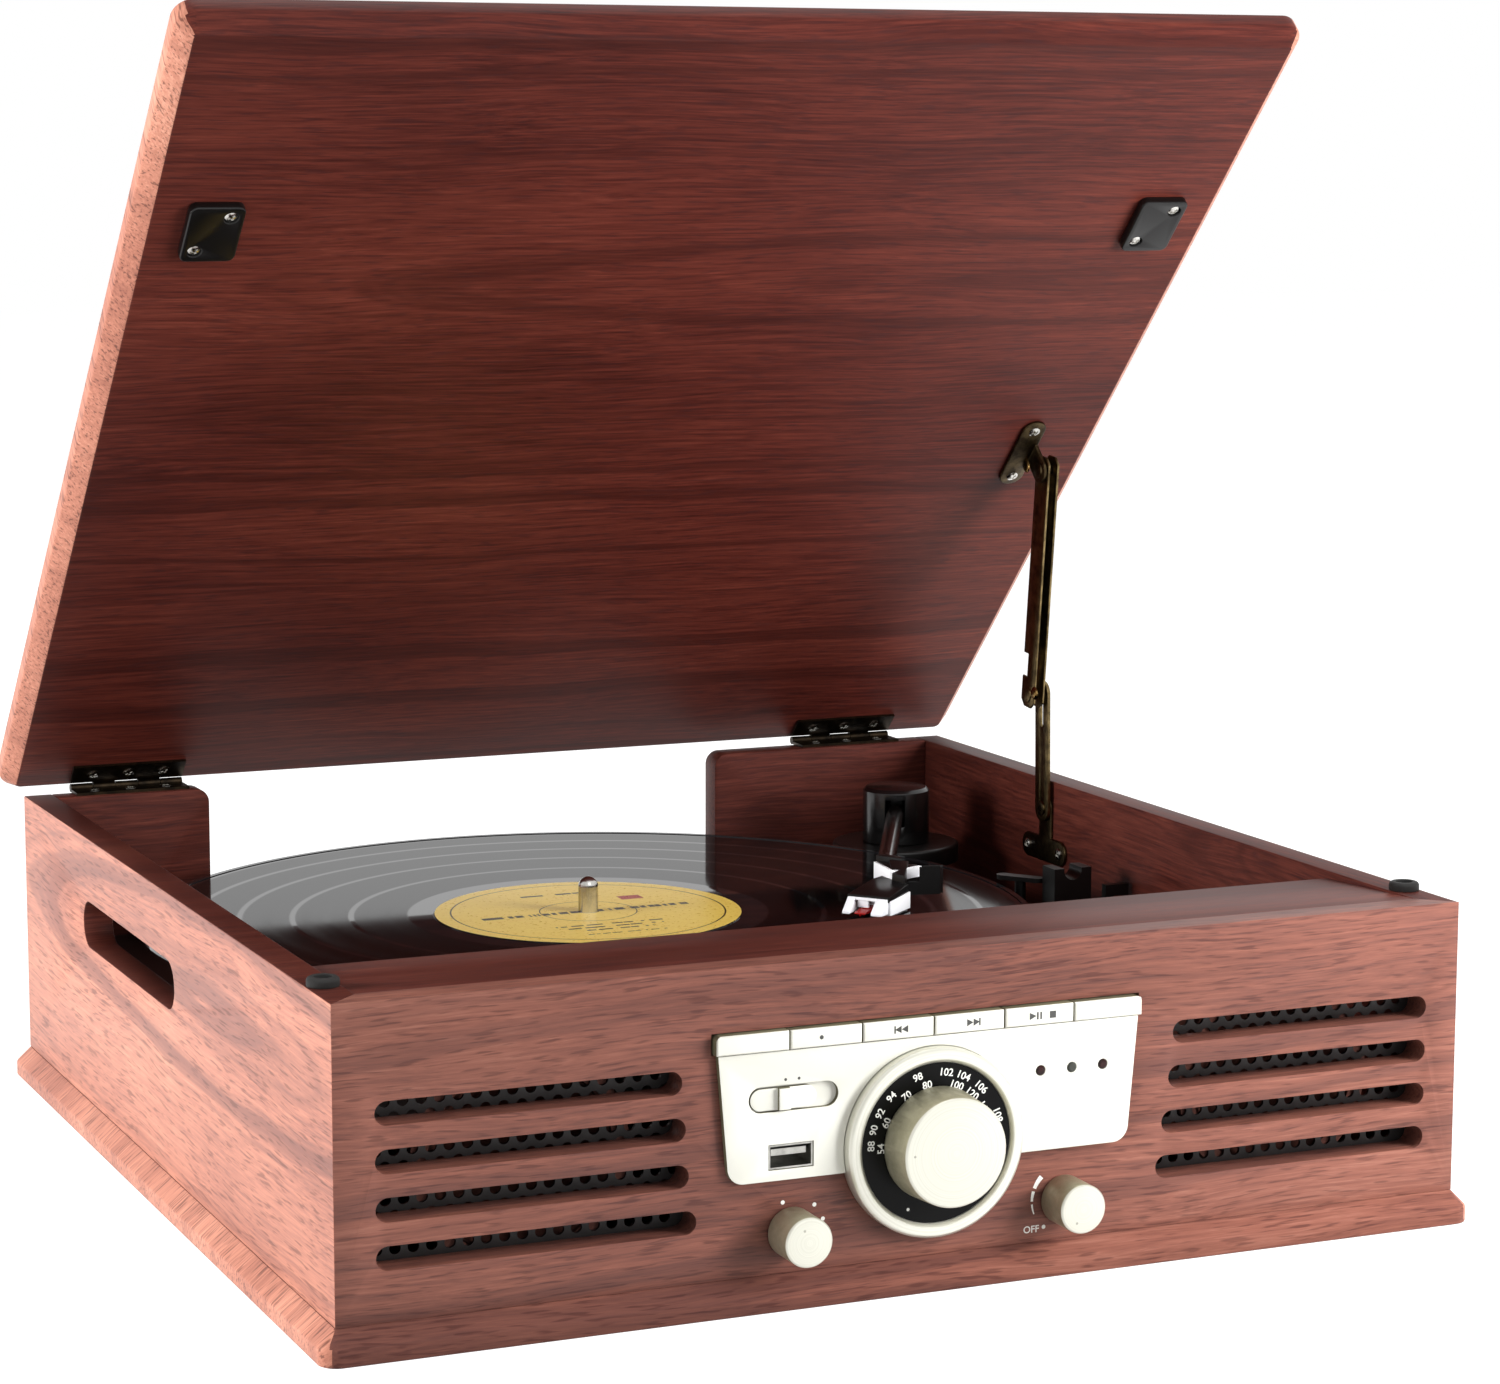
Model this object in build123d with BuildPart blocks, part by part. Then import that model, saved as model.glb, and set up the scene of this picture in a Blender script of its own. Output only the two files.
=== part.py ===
"""Stereo music centre: a wooden case with a hinged lid, a belt-driven record deck, a tonearm, a front
control panel and two loudspeakers.

Frame: x to the right, y to the back, z up, origin at the centre of the plinth's bottom face.
All sizes are in millimetres. The lid is drawn standing open.
"""
from build123d import *
import math
import os

# ---------------------------------------------------------------- case
case_width = 362.0
case_depth = 362.0
case_height = 91.0
wall = 10.0
plinth_thickness = 10.0
plinth_overhang = 5.0
plinth_bevel = 5.0
plinth_corner = 6.0
top_board_depth = 49.7  # from the front panel's inner face
top_board_thickness = 10.0
top_board_drop = 2.4  # the board falls this much towards the deck

side_slot_length = 115.0
side_slot_height = 15.5
side_slot_behind_spindle = 3.7
side_slot_rise = 61.75  # slot centre above the case's bottom

back_cut_from_left = 65.0  # from the case's side face
back_cut_from_right = 99.0
back_cut_corner = 5.0

bumper_radius = 4.7
bumper_height = 2.8
bumper_recess_radius = 2.6
bumper_recess_depth = 1.2
bumper_inset_side = 5.0  # bumper centre from the case's side face
bumper_inset_front = 23.0  # and from its front face

# ---------------------------------------------------------------- lid and hinges
lid_thickness = 10.0
lid_overhang_side = 7.0
lid_overhang_front = 3.5
lid_overhang_back = 7.5
lid_bevel = 5.0
lid_corner = 7.0
lid_gap = 3.0  # between the case's top and the closed lid
lid_open_angle = 45.5

hinge_out = 2.75  # hinge axis behind the case's back face
hinge_rise = 1.25  # hinge axis above the case's top
hinge_width = 41.0
hinge_from_left = 37.8  # hinge centre from the case's side face
hinge_from_right = 41.2
knuckle_radius = 1.45
knuckle_count = 5
knuckle_gap = 0.25
hinge_pin_radius = 0.7
leaf_thickness = 1.0
leaf_depth = 9.0
running_clearance = 0.05
moving_gap = 0.3

pad_width = 17.5
pad_length = 23.3
pad_thickness = 2.8
pad_corner = 2.5
pad_from_side = 17.5  # pad centre from the case's side face
pad_from_front = 84.8  # and from the lid's front edge
pad_screw_x = 4.5
pad_screw_y = 7.2

screw_radius = 2.1
screw_head = 0.8
hinge_screw_head = 0.3
hinge_screw_pitch = 13.0
head_clearance = 0.2

# ---------------------------------------------------------------- lid stay
stay_from_back = 111.5  # case pivot from the case's back face
stay_case_rise = 80.7
stay_lower_length = 47.3
stay_elbow_back = 3.9  # elbow behind the line between the outer pivots
stay_lid_reach = 165.6  # lid pivot from the lid's rear inner edge
stay_lid_drop = 7.5  # lid pivot below the hinge axis, with the lid closed
stay_sheet = 1.2
stay_strip_width = 9.6
stay_strip_end = 47.0
stay_slot_start = 30.0
stay_slot_end = 42.6
stay_slot_width = 2.4
stay_channel_width = 4.4
stay_channel_depth = 9.6
stay_channel_sheet = 0.8
stay_channel_below = 9.9
stay_channel_above = 5.0
stay_notch_low = 1.2
stay_notch_high = 9.7
stay_notch_depth = 3.4
stay_elbow_rivet_offset = 5.3
stay_pin_radius = 1.5
stay_head_radius = 2.65
stay_head_thickness = 0.5
stay_cut_margin = 1.0
stay_plate_width = 9.0
stay_plate_screws = 24.0
stay_case_plate_rise = 65.4
stay_plate_back = 0.9  # case plate behind the pivot

# ---------------------------------------------------------------- deck
deck_rise = 40.0  # deck top above the case's bottom
deck_thickness = 4.0
deck_front_gap = 41.0  # from the front panel's inner face
deck_fit = 0.5
rail_width = 10.0
rail_height = 12.0
rail_front_gap = 51.0

spindle_from_arm_x = 156.0  # to the left of the arm's pivot
spindle_from_back = 145.7
spindle_radius = 3.57
spindle_pin_radius = 3.35  # above the record
spindle_above_record = 12.0
spindle_tip_fillet = 3.3
record_radius = 150.75
record_thickness = 1.6
record_groove_sink = 0.25
record_label_radius = 52.3
record_bead = 2.0
record_hole_clearance = 0.06
record_path_gap = 3.0  # free room round the record where it passes a wall
record_rise = 62.3  # record underside above the case's bottom
mat_radius = 108.0
mat_thickness = 1.5
platter_radius = 110.0
platter_plate = 3.5
platter_skirt = 4.0
platter_clear_deck = 4.0
platter_hub_radius = 12.0
belt_rim_radius = 67.5
belt_rim_wall = 3.5
belt_rim_lift = 1.0
bearing_radius = 7.5
bearing_flange_radius = 14.0
bearing_flange = 2.0
bearing_depth = 28.0
bearing_floor = 2.0

motor_distance = 87.0
motor_angle = 126.9
motor_radius = 17.5
motor_height = 28.0
motor_boss_radius = 4.0
motor_shaft_radius = 1.0
motor_shaft_depth = 6.0
motor_edge = 0.4
pulley_radius = 6.5
pulley_flange = 1.1
pulley_flange_height = 0.8
pulley_lift = 5.5
belt_width = 4.0
belt_thickness = 0.8

# ---------------------------------------------------------------- tonearm
arm_from_side = 47.5  # pivot from the case's right face
arm_from_back = 61.5
arm_angle = 27.5  # from -y towards -x
head_angle = 22.5  # the head's further turn
arm_rise = 74.5  # tube axis above the case's bottom
arm_post_radius = 10.0
arm_disc_radius = 23.5
arm_disc_thickness = 6.8
arm_disc_rise = 62.8
arm_disc_edge = 1.25
turret_radius = 12.4
turret_rise = 80.0
turret_cap = 3.5
turret_bevel = 1.2
turret_slot_margin = 0.5
turret_slot_floor = 4.6  # slot floor below the tube's axis
turret_slot_back = 7.5
turret_pin_radius = 4.0
turret_pin_length = 12.0
arm_tube_radius = 3.2
arm_tube_tail = 6.0
arm_tube_length = 122.0
arm_pivot_radius = 1.2
collar_start = 113.4  # along the tube
collar_end = 123.5
collar_radius = 4.2
head_start = 132.4  # where the head's line leaves the tube's
head_back = 14.3  # from there backwards along the head
head_front = 15.0
head_left = 10.0
head_right = 7.3
head_below_axis = 6.0
head_height = 7.5
head_flat = 11.3  # level part of the top, from the back
head_nose_drop = 6.0
head_shoulder = 5.6  # bevel along the left edge
finger_start = -1.0
finger_back = -8.0
finger_reach = 9.2
finger_thickness = 2.6
finger_height = 9.2
cartridge_start = -10.0
cartridge_end = 12.0
cartridge_width = 9.0
guard_leg = 2.6
guard_left = 6.0
guard_right = 8.5
guard_right_leg = 4.0
guard_tip = 20.5
guard_tip_height = 0.8
guard_bar = 1.0
guard_plate_back = -1.0
guard_plate_rise = 1.9
guard_clearance = 1.0  # guard above the record
stylus_reach = 18.7
stylus_width = 4.0
stylus_back = 8.0
stylus_holder = 2.0
stylus_clearance = 0.3
stylus_tip_radius = 0.5
stylus_taper = 20

rest_right = 14.4  # from the arm's pivot
rest_forward = 108.3
rest_width = 14.5
rest_depth = 9.0
rest_notch_width = 6.8
rest_notch_floor = 66.8
rest_clear_tube = 0.3
lift_right = 3.0
lift_forward = 95.0
lift_housing_radius = 5.0
lift_housing_height = 14.0
lift_post_radius = 2.0
lift_top_rise = 66.0
lift_bar_thickness = 1.6
lift_bar_length = 18.0
lift_bar_width = 5.0
lift_bar_angle = -52.0
lift_post_depth = 18.0
lever_right = 28.5
lever_forward = 112.5
lever_pivot_rise = 4.5  # above the deck
lever_hub_radius = 2.4
lever_hub_width = 3.4
lever_stem_width = 3.2
lever_stem_depth = 3.0
lever_top_rise = 64.2
lever_handle_length = 9.0
lever_handle_height = 4.0
lever_ear_thickness = 2.0
lever_pin_radius = 1.0

# ---------------------------------------------------------------- control panel
fascia_top_half = 68.2
fascia_bottom_half = 64.4
fascia_top_rise = 72.0
fascia_bottom_rise = 28.1
fascia_flange = 2.0
fascia_edge = 2.5  # flange over the wood
fascia_corner = 5.0
fascia_skin = 1.5
fascia_rim = 2.0
fascia_fit = 0.2
button_count = 6
button_pitch = 22.9
button_height = 5.7
button_gap = 0.4
button_proud = 1.0  # beyond the fascia's face
button_depth = 9.0
button_stem = 3.0
button_bevel = 0.4
button_travel = 1.2
dial_rise = 34.8
dial_ring_outer = 28.3
dial_ring_inner = 23.9
dial_ring_proud = 6.0
dial_ring_bevel = 1.0
dial_opening = 26.0
dial_fit = 0.15
scale_rim = 1.5  # rim behind the ring
scale_proud = 4.7  # scale's face in front of the wood
tuning_face_radius = 16.2
tuning_base_radius = 17.0
tuning_length = 13.0
tuning_off_panel = 5.0
control_shaft_radius = 3.0
knob_x = 44.2
knob_rise = 12.1
knob_radius = 7.4
knob_length = 13.0
knob_off_panel = 0.5
knob_chamfer = 0.6
slide_x = -44.25
slide_rise = 52.2
slide_recess_length = 28.1
slide_recess_height = 7.6
slide_recess_depth = 1.6
slide_knob_length = 20.7
slide_knob_height = 6.4
slide_knob_proud = 0.2
slide_ridge_width = 3.7
slide_ridge_proud = 1.6
slide_stem = 2.4
slide_switch_setback = 3.0  # switch body behind the wood's face
slide_end_gap = 0.4
slide_travel = 6.0
usb_x = -45.0
usb_rise = 35.0
usb_width = 14.2
usb_height = 7.5
usb_shell = 0.5
usb_tongue_width = 11.0
usb_tongue_height = 1.9
led_rise = 52.3
led_first_x = 35.3
led_pitch = 10.35
led_count = 3
led_radius = 1.5
led_fit = 0.1
board_setback = 11.0  # front board behind the front panel's inner face
board_thickness = 1.6
board_half_width = 66.0
board_foot = 8.0
board_bottom_rise = 4.0
board_top_gap = 2.6  # under the top board
control_body = 16.0
control_body_depth = 8.0
control_bore_depth = 5.0
key_switch_size = 6.0
key_switch_depth = 4.0

# ---------------------------------------------------------------- loudspeakers
slot_height = 7.0
slot_pitch = 13.67
slot_lowest_rise = 18.1
slot_from_left = 12.0  # outer end from the case's side face
slot_from_right = 11.0
slot_inner_left = (73.6, 75.9, 76.8, 77.9)  # from the lowest slot up
slot_inner_right = (75.6, 77.4, 79.5, 80.8)
grille_thickness = 1.0
grille_inner_x = 71.5
grille_bottom_rise = 12.5
grille_top_rise = 65.0
grille_hole_radius = 1.7
grille_hole_pitch = 5.4
speaker_from_wall = 48.5  # centre from the side wall
speaker_rise = 39.0
speaker_radius = 33.0
speaker_flange = 2.0
speaker_cone_radius = 28.0
speaker_basket_depth = 20.0
speaker_back_radius = 22.0
speaker_sheet = 1.5
magnet_radius = 20.0
magnet_depth = 11.0
cone_thickness = 0.8
cone_edge_gap = 0.4
cone_depth = 13.0
cone_centre_radius = 9.0

# ---------------------------------------------------------------- inside and back
transformer_from_wall = 46.0  # centre from the left wall
transformer_from_back = 231.0  # and from the back wall
transformer_width = 50.0
transformer_depth = 42.0
transformer_height = 34.0
transformer_core = 18.0
coil_margin = 6.0
main_board_from_wall = 91.0  # centre from the right wall
main_board_from_back = 76.0
main_board_width = 120.0
main_board_depth = 80.0
main_board_rise = 8.0
standoff_radius = 3.0
standoff_inset = 6.0
capacitor_radius = 6.0
capacitor_height = 16.0
heatsink_width = 40.0
heatsink_depth = 10.0
heatsink_height = 18.0
socket_from_wall = 66.0  # plate's centre from the left wall
socket_rise = 20.0
socket_plate_width = 110.0
socket_plate_height = 28.0
socket_plate_thickness = 1.5
socket_plate_edge = 4.0
socket_screw_inset = 3.6
jack_radius = 4.15
jack_collar_radius = 4.8
jack_bore_radius = 1.6
jack_length = 8.0
jack_body = 14.0
jack_body_depth = 14.0
jack_first_x = 0.0  # along the plate from its centre
jack_pitch = 17.0
aux_offset = 36.0
aux_bore_radius = 1.8
aux_bore_depth = 12.0
aux_ring_radius = 4.0
aux_ring_length = 2.0
inlet_offset = -32.0
inlet_width = 16.5
inlet_height = 9.0
inlet_depth = 10.0
inlet_body_width = 22.0
inlet_body_height = 14.0

# ---------------------------------------------------------------- planes and places worked out
base_z = plinth_thickness
case_top = base_z + case_height
front_y = -case_depth / 2
back_y = case_depth / 2
side_x = case_width / 2
inner_x = side_x - wall
inner_front_y = front_y + wall
inner_back_y = back_y - wall
arm_x = side_x - arm_from_side
arm_y = back_y - arm_from_back
spindle_x = arm_x - spindle_from_arm_x
spindle_y = back_y - spindle_from_back
rest_x = arm_x + rest_right
rest_y = arm_y - rest_forward
lift_x = arm_x + lift_right
lift_y = arm_y - lift_forward
lever_x = arm_x + lever_right
lever_y = arm_y - lever_forward
side_slot_y = spindle_y + side_slot_behind_spindle
back_cut_left = -side_x + back_cut_from_left
back_cut_right = side_x - back_cut_from_right
hinge_left_x = -side_x + hinge_from_left
hinge_right_x = side_x - hinge_from_right
pad_x = side_x - pad_from_side
stay_case_y = back_y - stay_from_back
stay_case_plate_y = stay_case_y + stay_plate_back
deck_front_y = inner_front_y + deck_front_gap
rail_front_y = inner_front_y + rail_front_gap
board_top_rise = case_height - top_board_drop - top_board_thickness - board_top_gap
speaker_x = inner_x - speaker_from_wall
transformer_x = -inner_x + transformer_from_wall
transformer_y = inner_back_y - transformer_from_back
main_board_x = inner_x - main_board_from_wall
main_board_y = inner_back_y - main_board_from_back
socket_x = -inner_x + socket_from_wall
deck_z = base_z + deck_rise
record_z = base_z + record_rise
record_top = record_z + record_thickness
platter_top = record_z - mat_thickness
arm_z = base_z + arm_rise
hinge_y = back_y + hinge_out
hinge_z = case_top + hinge_rise
lid_inner = lid_gap - hinge_rise  # lid's inner face above the hinge axis, lid closed
lid_rear = lid_overhang_back - hinge_out  # lid's rear edge behind the hinge axis
lid_front = lid_rear - (case_depth + lid_overhang_front + lid_overhang_back)
lid_rear_inner = lid_rear - lid_bevel
open_rad = math.radians(lid_open_angle)

front_plane = Plane.XZ.offset(-front_y)  # faces forwards, local y is height
back_plane = Plane((0, back_y, 0), x_dir=(-1, 0, 0), z_dir=(0, 1, 0))  # faces backwards
lid_plane = Plane((0, hinge_y, hinge_z), x_dir=(1, 0, 0), z_dir=(0, math.sin(open_rad), math.cos(open_rad)))
lid_face_plane = lid_plane.offset(lid_inner)
lid_side_plane = Plane((0, hinge_y, hinge_z), x_dir=lid_plane.y_dir, z_dir=(1, 0, 0))

os.makedirs("parts", exist_ok=True)


def finish(builder, name):
    """Label a finished piece and write it to its own file."""
    builder.part.label = name
    export_step(builder.part, f"parts/{name}.step")


def record_path():
    """Disc of free room for the record where it passes a wall."""
    with BuildSketch(Plane.XY.offset(record_z - record_path_gap)) as path:
        with Locations((spindle_x, spindle_y)):
            Circle(record_radius + record_path_gap)
    return path.sketch


# ================================================================ wooden case
with BuildPart() as plinth:
    with BuildSketch():
        RectangleRounded(case_width + 2 * plinth_overhang, case_depth + 2 * plinth_overhang, plinth_corner)
    extrude(amount=plinth_thickness)
    chamfer(plinth.edges().group_by(Axis.Z)[-1], plinth_bevel)
finish(plinth, "plinth")

# side walls meet the front panel in a mitre
with BuildPart() as left_wall:
    with BuildSketch(Plane.XY.offset(base_z)):
        with BuildLine():
            Polyline(
                (-side_x, front_y),
                (-inner_x, inner_front_y),
                (-inner_x, back_y),
                (-side_x, back_y),
                close=True,
            )
        make_face()
    extrude(amount=case_height)
    # the record reaches into this slot
    with BuildSketch(Plane.YZ.offset(-side_x)):
        with Locations((side_slot_y, base_z + side_slot_rise)):
            SlotOverall(side_slot_length, side_slot_height)
    extrude(amount=wall, mode=Mode.SUBTRACT)
    extrude(record_path(), amount=record_thickness + 2 * record_path_gap, mode=Mode.SUBTRACT)
finish(left_wall, "left_wall")

with BuildPart() as right_wall:
    with BuildSketch(Plane.XY.offset(base_z)):
        with BuildLine():
            Polyline(
                (side_x, front_y),
                (inner_x, inner_front_y),
                (inner_x, back_y),
                (side_x, back_y),
                close=True,
            )
        make_face()
    extrude(amount=case_height)
finish(right_wall, "right_wall")

fascia_slope = (fascia_top_half - fascia_bottom_half) / (fascia_top_rise - fascia_bottom_rise)
button_bottom_rise = fascia_top_rise - button_height
button_row_half = button_count * button_pitch / 2


def fascia_outline(inset, corner, top_gap):
    """Trapezoid of the control fascia below the buttons, drawn in by an inset."""
    low = base_z + fascia_bottom_rise + inset
    high = base_z + button_bottom_rise - top_gap
    low_half = fascia_bottom_half - inset + fascia_slope * inset
    high_half = low_half + fascia_slope * (high - low)
    with BuildSketch() as outline:
        with BuildLine():
            Polyline(
                (-low_half, low), (low_half, low), (high_half, high), (-high_half, high), close=True
            )
        make_face()
        fillet(outline.vertices().group_by(Axis.Y)[0], corner)
    return outline.sketch


def sound_slots(side, inner_ends, outer_end):
    """Column of rounded sound slots on one side of the front panel."""
    with BuildSketch() as slots:
        for row, inner_end in enumerate(inner_ends):
            slot_z = base_z + slot_lowest_rise + row * slot_pitch
            with Locations((side * (inner_end + outer_end) / 2, slot_z)):
                SlotOverall(outer_end - inner_end, slot_height)
    return slots.sketch


with BuildPart() as front_panel:
    with BuildSketch(Plane.XY.offset(base_z)):
        with BuildLine():
            Polyline(
                (-side_x, front_y),
                (side_x, front_y),
                (inner_x, inner_front_y),
                (-inner_x, inner_front_y),
                close=True,
            )
        make_face()
    extrude(amount=case_height)
    with BuildSketch(front_plane):
        add(sound_slots(-1, slot_inner_left, side_x - slot_from_left))
        add(sound_slots(1, slot_inner_right, side_x - slot_from_right))
        # opening behind the fascia, the buttons and the dial
        add(fascia_outline(fascia_edge, fascia_corner - fascia_edge, 0))
        with Locations((0, base_z + fascia_top_rise - button_height / 2)):
            Rectangle(2 * (button_row_half + moving_gap), button_height + 2 * moving_gap)
        with Locations((0, base_z + dial_rise)):
            Circle(dial_opening)
        with Locations((-knob_x, base_z + knob_rise), (knob_x, base_z + knob_rise)):
            Circle(control_shaft_radius + moving_gap)
    extrude(amount=-wall, mode=Mode.SUBTRACT)
finish(front_panel, "front_panel")

with BuildPart() as front_top_board:
    with BuildSketch(Plane.YZ.offset(-inner_x)):
        with BuildLine():
            Polyline(
                (inner_front_y, case_top),
                (inner_front_y + top_board_depth, case_top - top_board_drop),
                (inner_front_y + top_board_depth, case_top - top_board_drop - top_board_thickness),
                (inner_front_y, case_top - top_board_thickness),
                close=True,
            )
        make_face()
    extrude(amount=2 * inner_x)
finish(front_top_board, "front_top_board")

with BuildPart() as back_wall:
    with BuildSketch(back_plane) as back_outline:
        with BuildLine():
            Polyline(
                (-inner_x, base_z),
                (inner_x, base_z),
                (inner_x, case_top),
                (-back_cut_left, case_top),
                (-back_cut_left, deck_z),
                (-back_cut_right, deck_z),
                (-back_cut_right, case_top),
                (-inner_x, case_top),
                close=True,
            )
        make_face()
        # round the ends of the cut-out
        cut_ends = back_outline.vertices().filter_by(
            lambda v: abs(v.X) < inner_x - back_cut_corner and v.Y > deck_z + back_cut_corner
        )
        fillet(cut_ends, back_cut_corner)
        with Locations((-socket_x, base_z + socket_rise)):
            Rectangle(
                socket_plate_width - 2 * socket_plate_edge - 2 * socket_screw_inset,
                socket_plate_height - 2 * socket_plate_edge,
                mode=Mode.SUBTRACT,
            )
    extrude(amount=-wall)
    extrude(record_path(), amount=record_thickness + 2 * record_path_gap, mode=Mode.SUBTRACT)
finish(back_wall, "back_wall")

with BuildPart() as case_bumpers:
    with BuildSketch(Plane.XY.offset(case_top)):
        with Locations(
            (-side_x + bumper_inset_side, front_y + bumper_inset_front),
            (side_x - bumper_inset_side, front_y + bumper_inset_front),
        ):
            Circle(bumper_radius)
    extrude(amount=bumper_height)
    fillet(case_bumpers.edges().group_by(Axis.Z)[-1], bumper_recess_depth)
    with BuildSketch(Plane.XY.offset(case_top + bumper_height)):
        with Locations(
            (-side_x + bumper_inset_side, front_y + bumper_inset_front),
            (side_x - bumper_inset_side, front_y + bumper_inset_front),
        ):
            Circle(bumper_recess_radius)
    extrude(amount=-bumper_recess_depth, mode=Mode.SUBTRACT)
finish(case_bumpers, "case_bumpers")

# ================================================================ deck
with BuildPart() as deck_rails:
    with BuildSketch(Plane.XY.offset(deck_z - deck_thickness - rail_height)):
        with Locations(
            (-inner_x + rail_width / 2, (rail_front_y + inner_back_y) / 2),
            (inner_x - rail_width / 2, (rail_front_y + inner_back_y) / 2),
        ):
            Rectangle(rail_width, inner_back_y - rail_front_y)
    extrude(amount=rail_height)
finish(deck_rails, "deck_rails")

motor_x = spindle_x + motor_distance * math.cos(math.radians(motor_angle))
motor_y = spindle_y + motor_distance * math.sin(math.radians(motor_angle))
deck_back_y = inner_back_y - deck_fit

with BuildPart() as deck_plate:
    with BuildSketch(Plane.XY.offset(deck_z)):
        with Locations((0, (deck_front_y + deck_back_y) / 2)):
            Rectangle(2 * (inner_x - deck_fit), deck_back_y - deck_front_y)
        with Locations((spindle_x, spindle_y)):
            Circle(bearing_radius + deck_fit, mode=Mode.SUBTRACT)
        with Locations((motor_x, motor_y)):
            Circle(motor_boss_radius + deck_fit, mode=Mode.SUBTRACT)
    extrude(amount=-deck_thickness)
finish(deck_plate, "deck_plate")

with BuildPart() as bearing_housing:
    with BuildSketch(Plane.XY.offset(deck_z)):
        with Locations((spindle_x, spindle_y)):
            Circle(bearing_flange_radius)
    extrude(amount=bearing_flange)
    with BuildSketch(Plane.XY.offset(deck_z)):
        with Locations((spindle_x, spindle_y)):
            Circle(bearing_radius)
    extrude(amount=-bearing_depth)
    with BuildSketch(Plane.XY.offset(deck_z + bearing_flange)):
        with Locations((spindle_x, spindle_y)):
            Circle(spindle_radius + running_clearance)
    extrude(amount=-(bearing_flange + bearing_depth - bearing_floor), mode=Mode.SUBTRACT)
finish(bearing_housing, "bearing_housing")

spindle_bottom = deck_z - bearing_depth + bearing_floor + moving_gap
with BuildPart() as spindle:
    with BuildSketch(Plane.XY.offset(spindle_bottom)):
        with Locations((spindle_x, spindle_y)):
            Circle(spindle_radius)
    extrude(amount=record_top - spindle_bottom)
    with BuildSketch(Plane.XY.offset(record_top)):
        with Locations((spindle_x, spindle_y)):
            Circle(spindle_pin_radius)
    extrude(amount=spindle_above_record)
    fillet(spindle.edges().group_by(Axis.Z)[-1], spindle_tip_fillet)
finish(spindle, "spindle")

spindle_axis = Axis((spindle_x, spindle_y, 0), (0, 0, 1))
spindle_section = Plane((spindle_x, spindle_y, 0), x_dir=(1, 0, 0), z_dir=(0, -1, 0))
platter_bore = spindle_radius + running_clearance
platter_bottom = deck_z + platter_clear_deck
platter_web = platter_top - platter_plate

with BuildPart() as platter:
    with BuildSketch(spindle_section):
        with BuildLine():
            Polyline(
                (platter_bore, platter_top),
                (platter_radius, platter_top),
                (platter_radius, platter_bottom),
                (platter_radius - platter_skirt, platter_bottom),
                (platter_radius - platter_skirt, platter_web),
                (belt_rim_radius, platter_web),
                (belt_rim_radius, platter_bottom + belt_rim_lift),
                (belt_rim_radius - belt_rim_wall, platter_bottom + belt_rim_lift),
                (belt_rim_radius - belt_rim_wall, platter_web),
                (platter_hub_radius, platter_web),
                (platter_hub_radius, platter_bottom),
                (platter_bore, platter_bottom),
                close=True,
            )
        make_face()
    revolve(axis=spindle_axis)
finish(platter, "platter")

with BuildPart() as slip_mat:
    with BuildSketch(Plane.XY.offset(platter_top)):
        with Locations((spindle_x, spindle_y)):
            Circle(mat_radius)
            Circle(spindle_radius + moving_gap, mode=Mode.SUBTRACT)
    extrude(amount=mat_thickness)
finish(slip_mat, "slip_mat")

# the grooved band lies a little below the label and the rim bead
with BuildPart() as record:
    with BuildSketch(spindle_section):
        with BuildLine():
            Polyline(
                (spindle_radius + record_hole_clearance, record_z),
                (record_radius, record_z),
                (record_radius, record_top),
                (record_radius - record_bead, record_top),
                (record_radius - record_bead, record_top - record_groove_sink),
                (record_label_radius, record_top - record_groove_sink),
                (record_label_radius, record_top),
                (spindle_radius + record_hole_clearance, record_top),
                close=True,
            )
        make_face()
    revolve(axis=spindle_axis)
finish(record, "record")

with BuildPart() as motor:
    with BuildSketch(Plane.XY.offset(deck_z - deck_thickness)):
        with Locations((motor_x, motor_y)):
            Circle(motor_radius)
    extrude(amount=-motor_height)
    fillet(motor.edges().group_by(Axis.Z)[0], motor_edge)
    with BuildSketch(Plane.XY.offset(deck_z - deck_thickness)):
        with Locations((motor_x, motor_y)):
            Circle(motor_boss_radius)
    extrude(amount=deck_thickness)
    with BuildSketch(Plane.XY.offset(deck_z)):
        with Locations((motor_x, motor_y)):
            Circle(motor_shaft_radius + running_clearance)
    extrude(amount=-(deck_thickness + motor_shaft_depth), mode=Mode.SUBTRACT)
finish(motor, "motor")

pulley_bottom = deck_z + pulley_lift
belt_z = pulley_bottom + pulley_flange_height + moving_gap
pulley_groove = belt_width + 2 * moving_gap
pulley_outer = pulley_radius + pulley_flange
with BuildPart() as motor_pulley:
    with BuildSketch(Plane((motor_x, motor_y, 0), x_dir=(1, 0, 0), z_dir=(0, -1, 0))):
        with BuildLine():
            Polyline(
                (0, deck_z - deck_thickness - motor_shaft_depth + moving_gap),
                (motor_shaft_radius, deck_z - deck_thickness - motor_shaft_depth + moving_gap),
                (motor_shaft_radius, pulley_bottom),
                (pulley_outer, pulley_bottom),
                (pulley_outer, pulley_bottom + pulley_flange_height),
                (pulley_radius, pulley_bottom + pulley_flange_height),
                (pulley_radius, pulley_bottom + pulley_flange_height + pulley_groove),
                (pulley_outer, pulley_bottom + pulley_flange_height + pulley_groove),
                (pulley_outer, pulley_bottom + 2 * pulley_flange_height + pulley_groove),
                (0, pulley_bottom + 2 * pulley_flange_height + pulley_groove),
                close=True,
            )
        make_face()
    revolve(axis=Axis((motor_x, motor_y, 0), (0, 0, 1)))
finish(motor_pulley, "motor_pulley")


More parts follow.
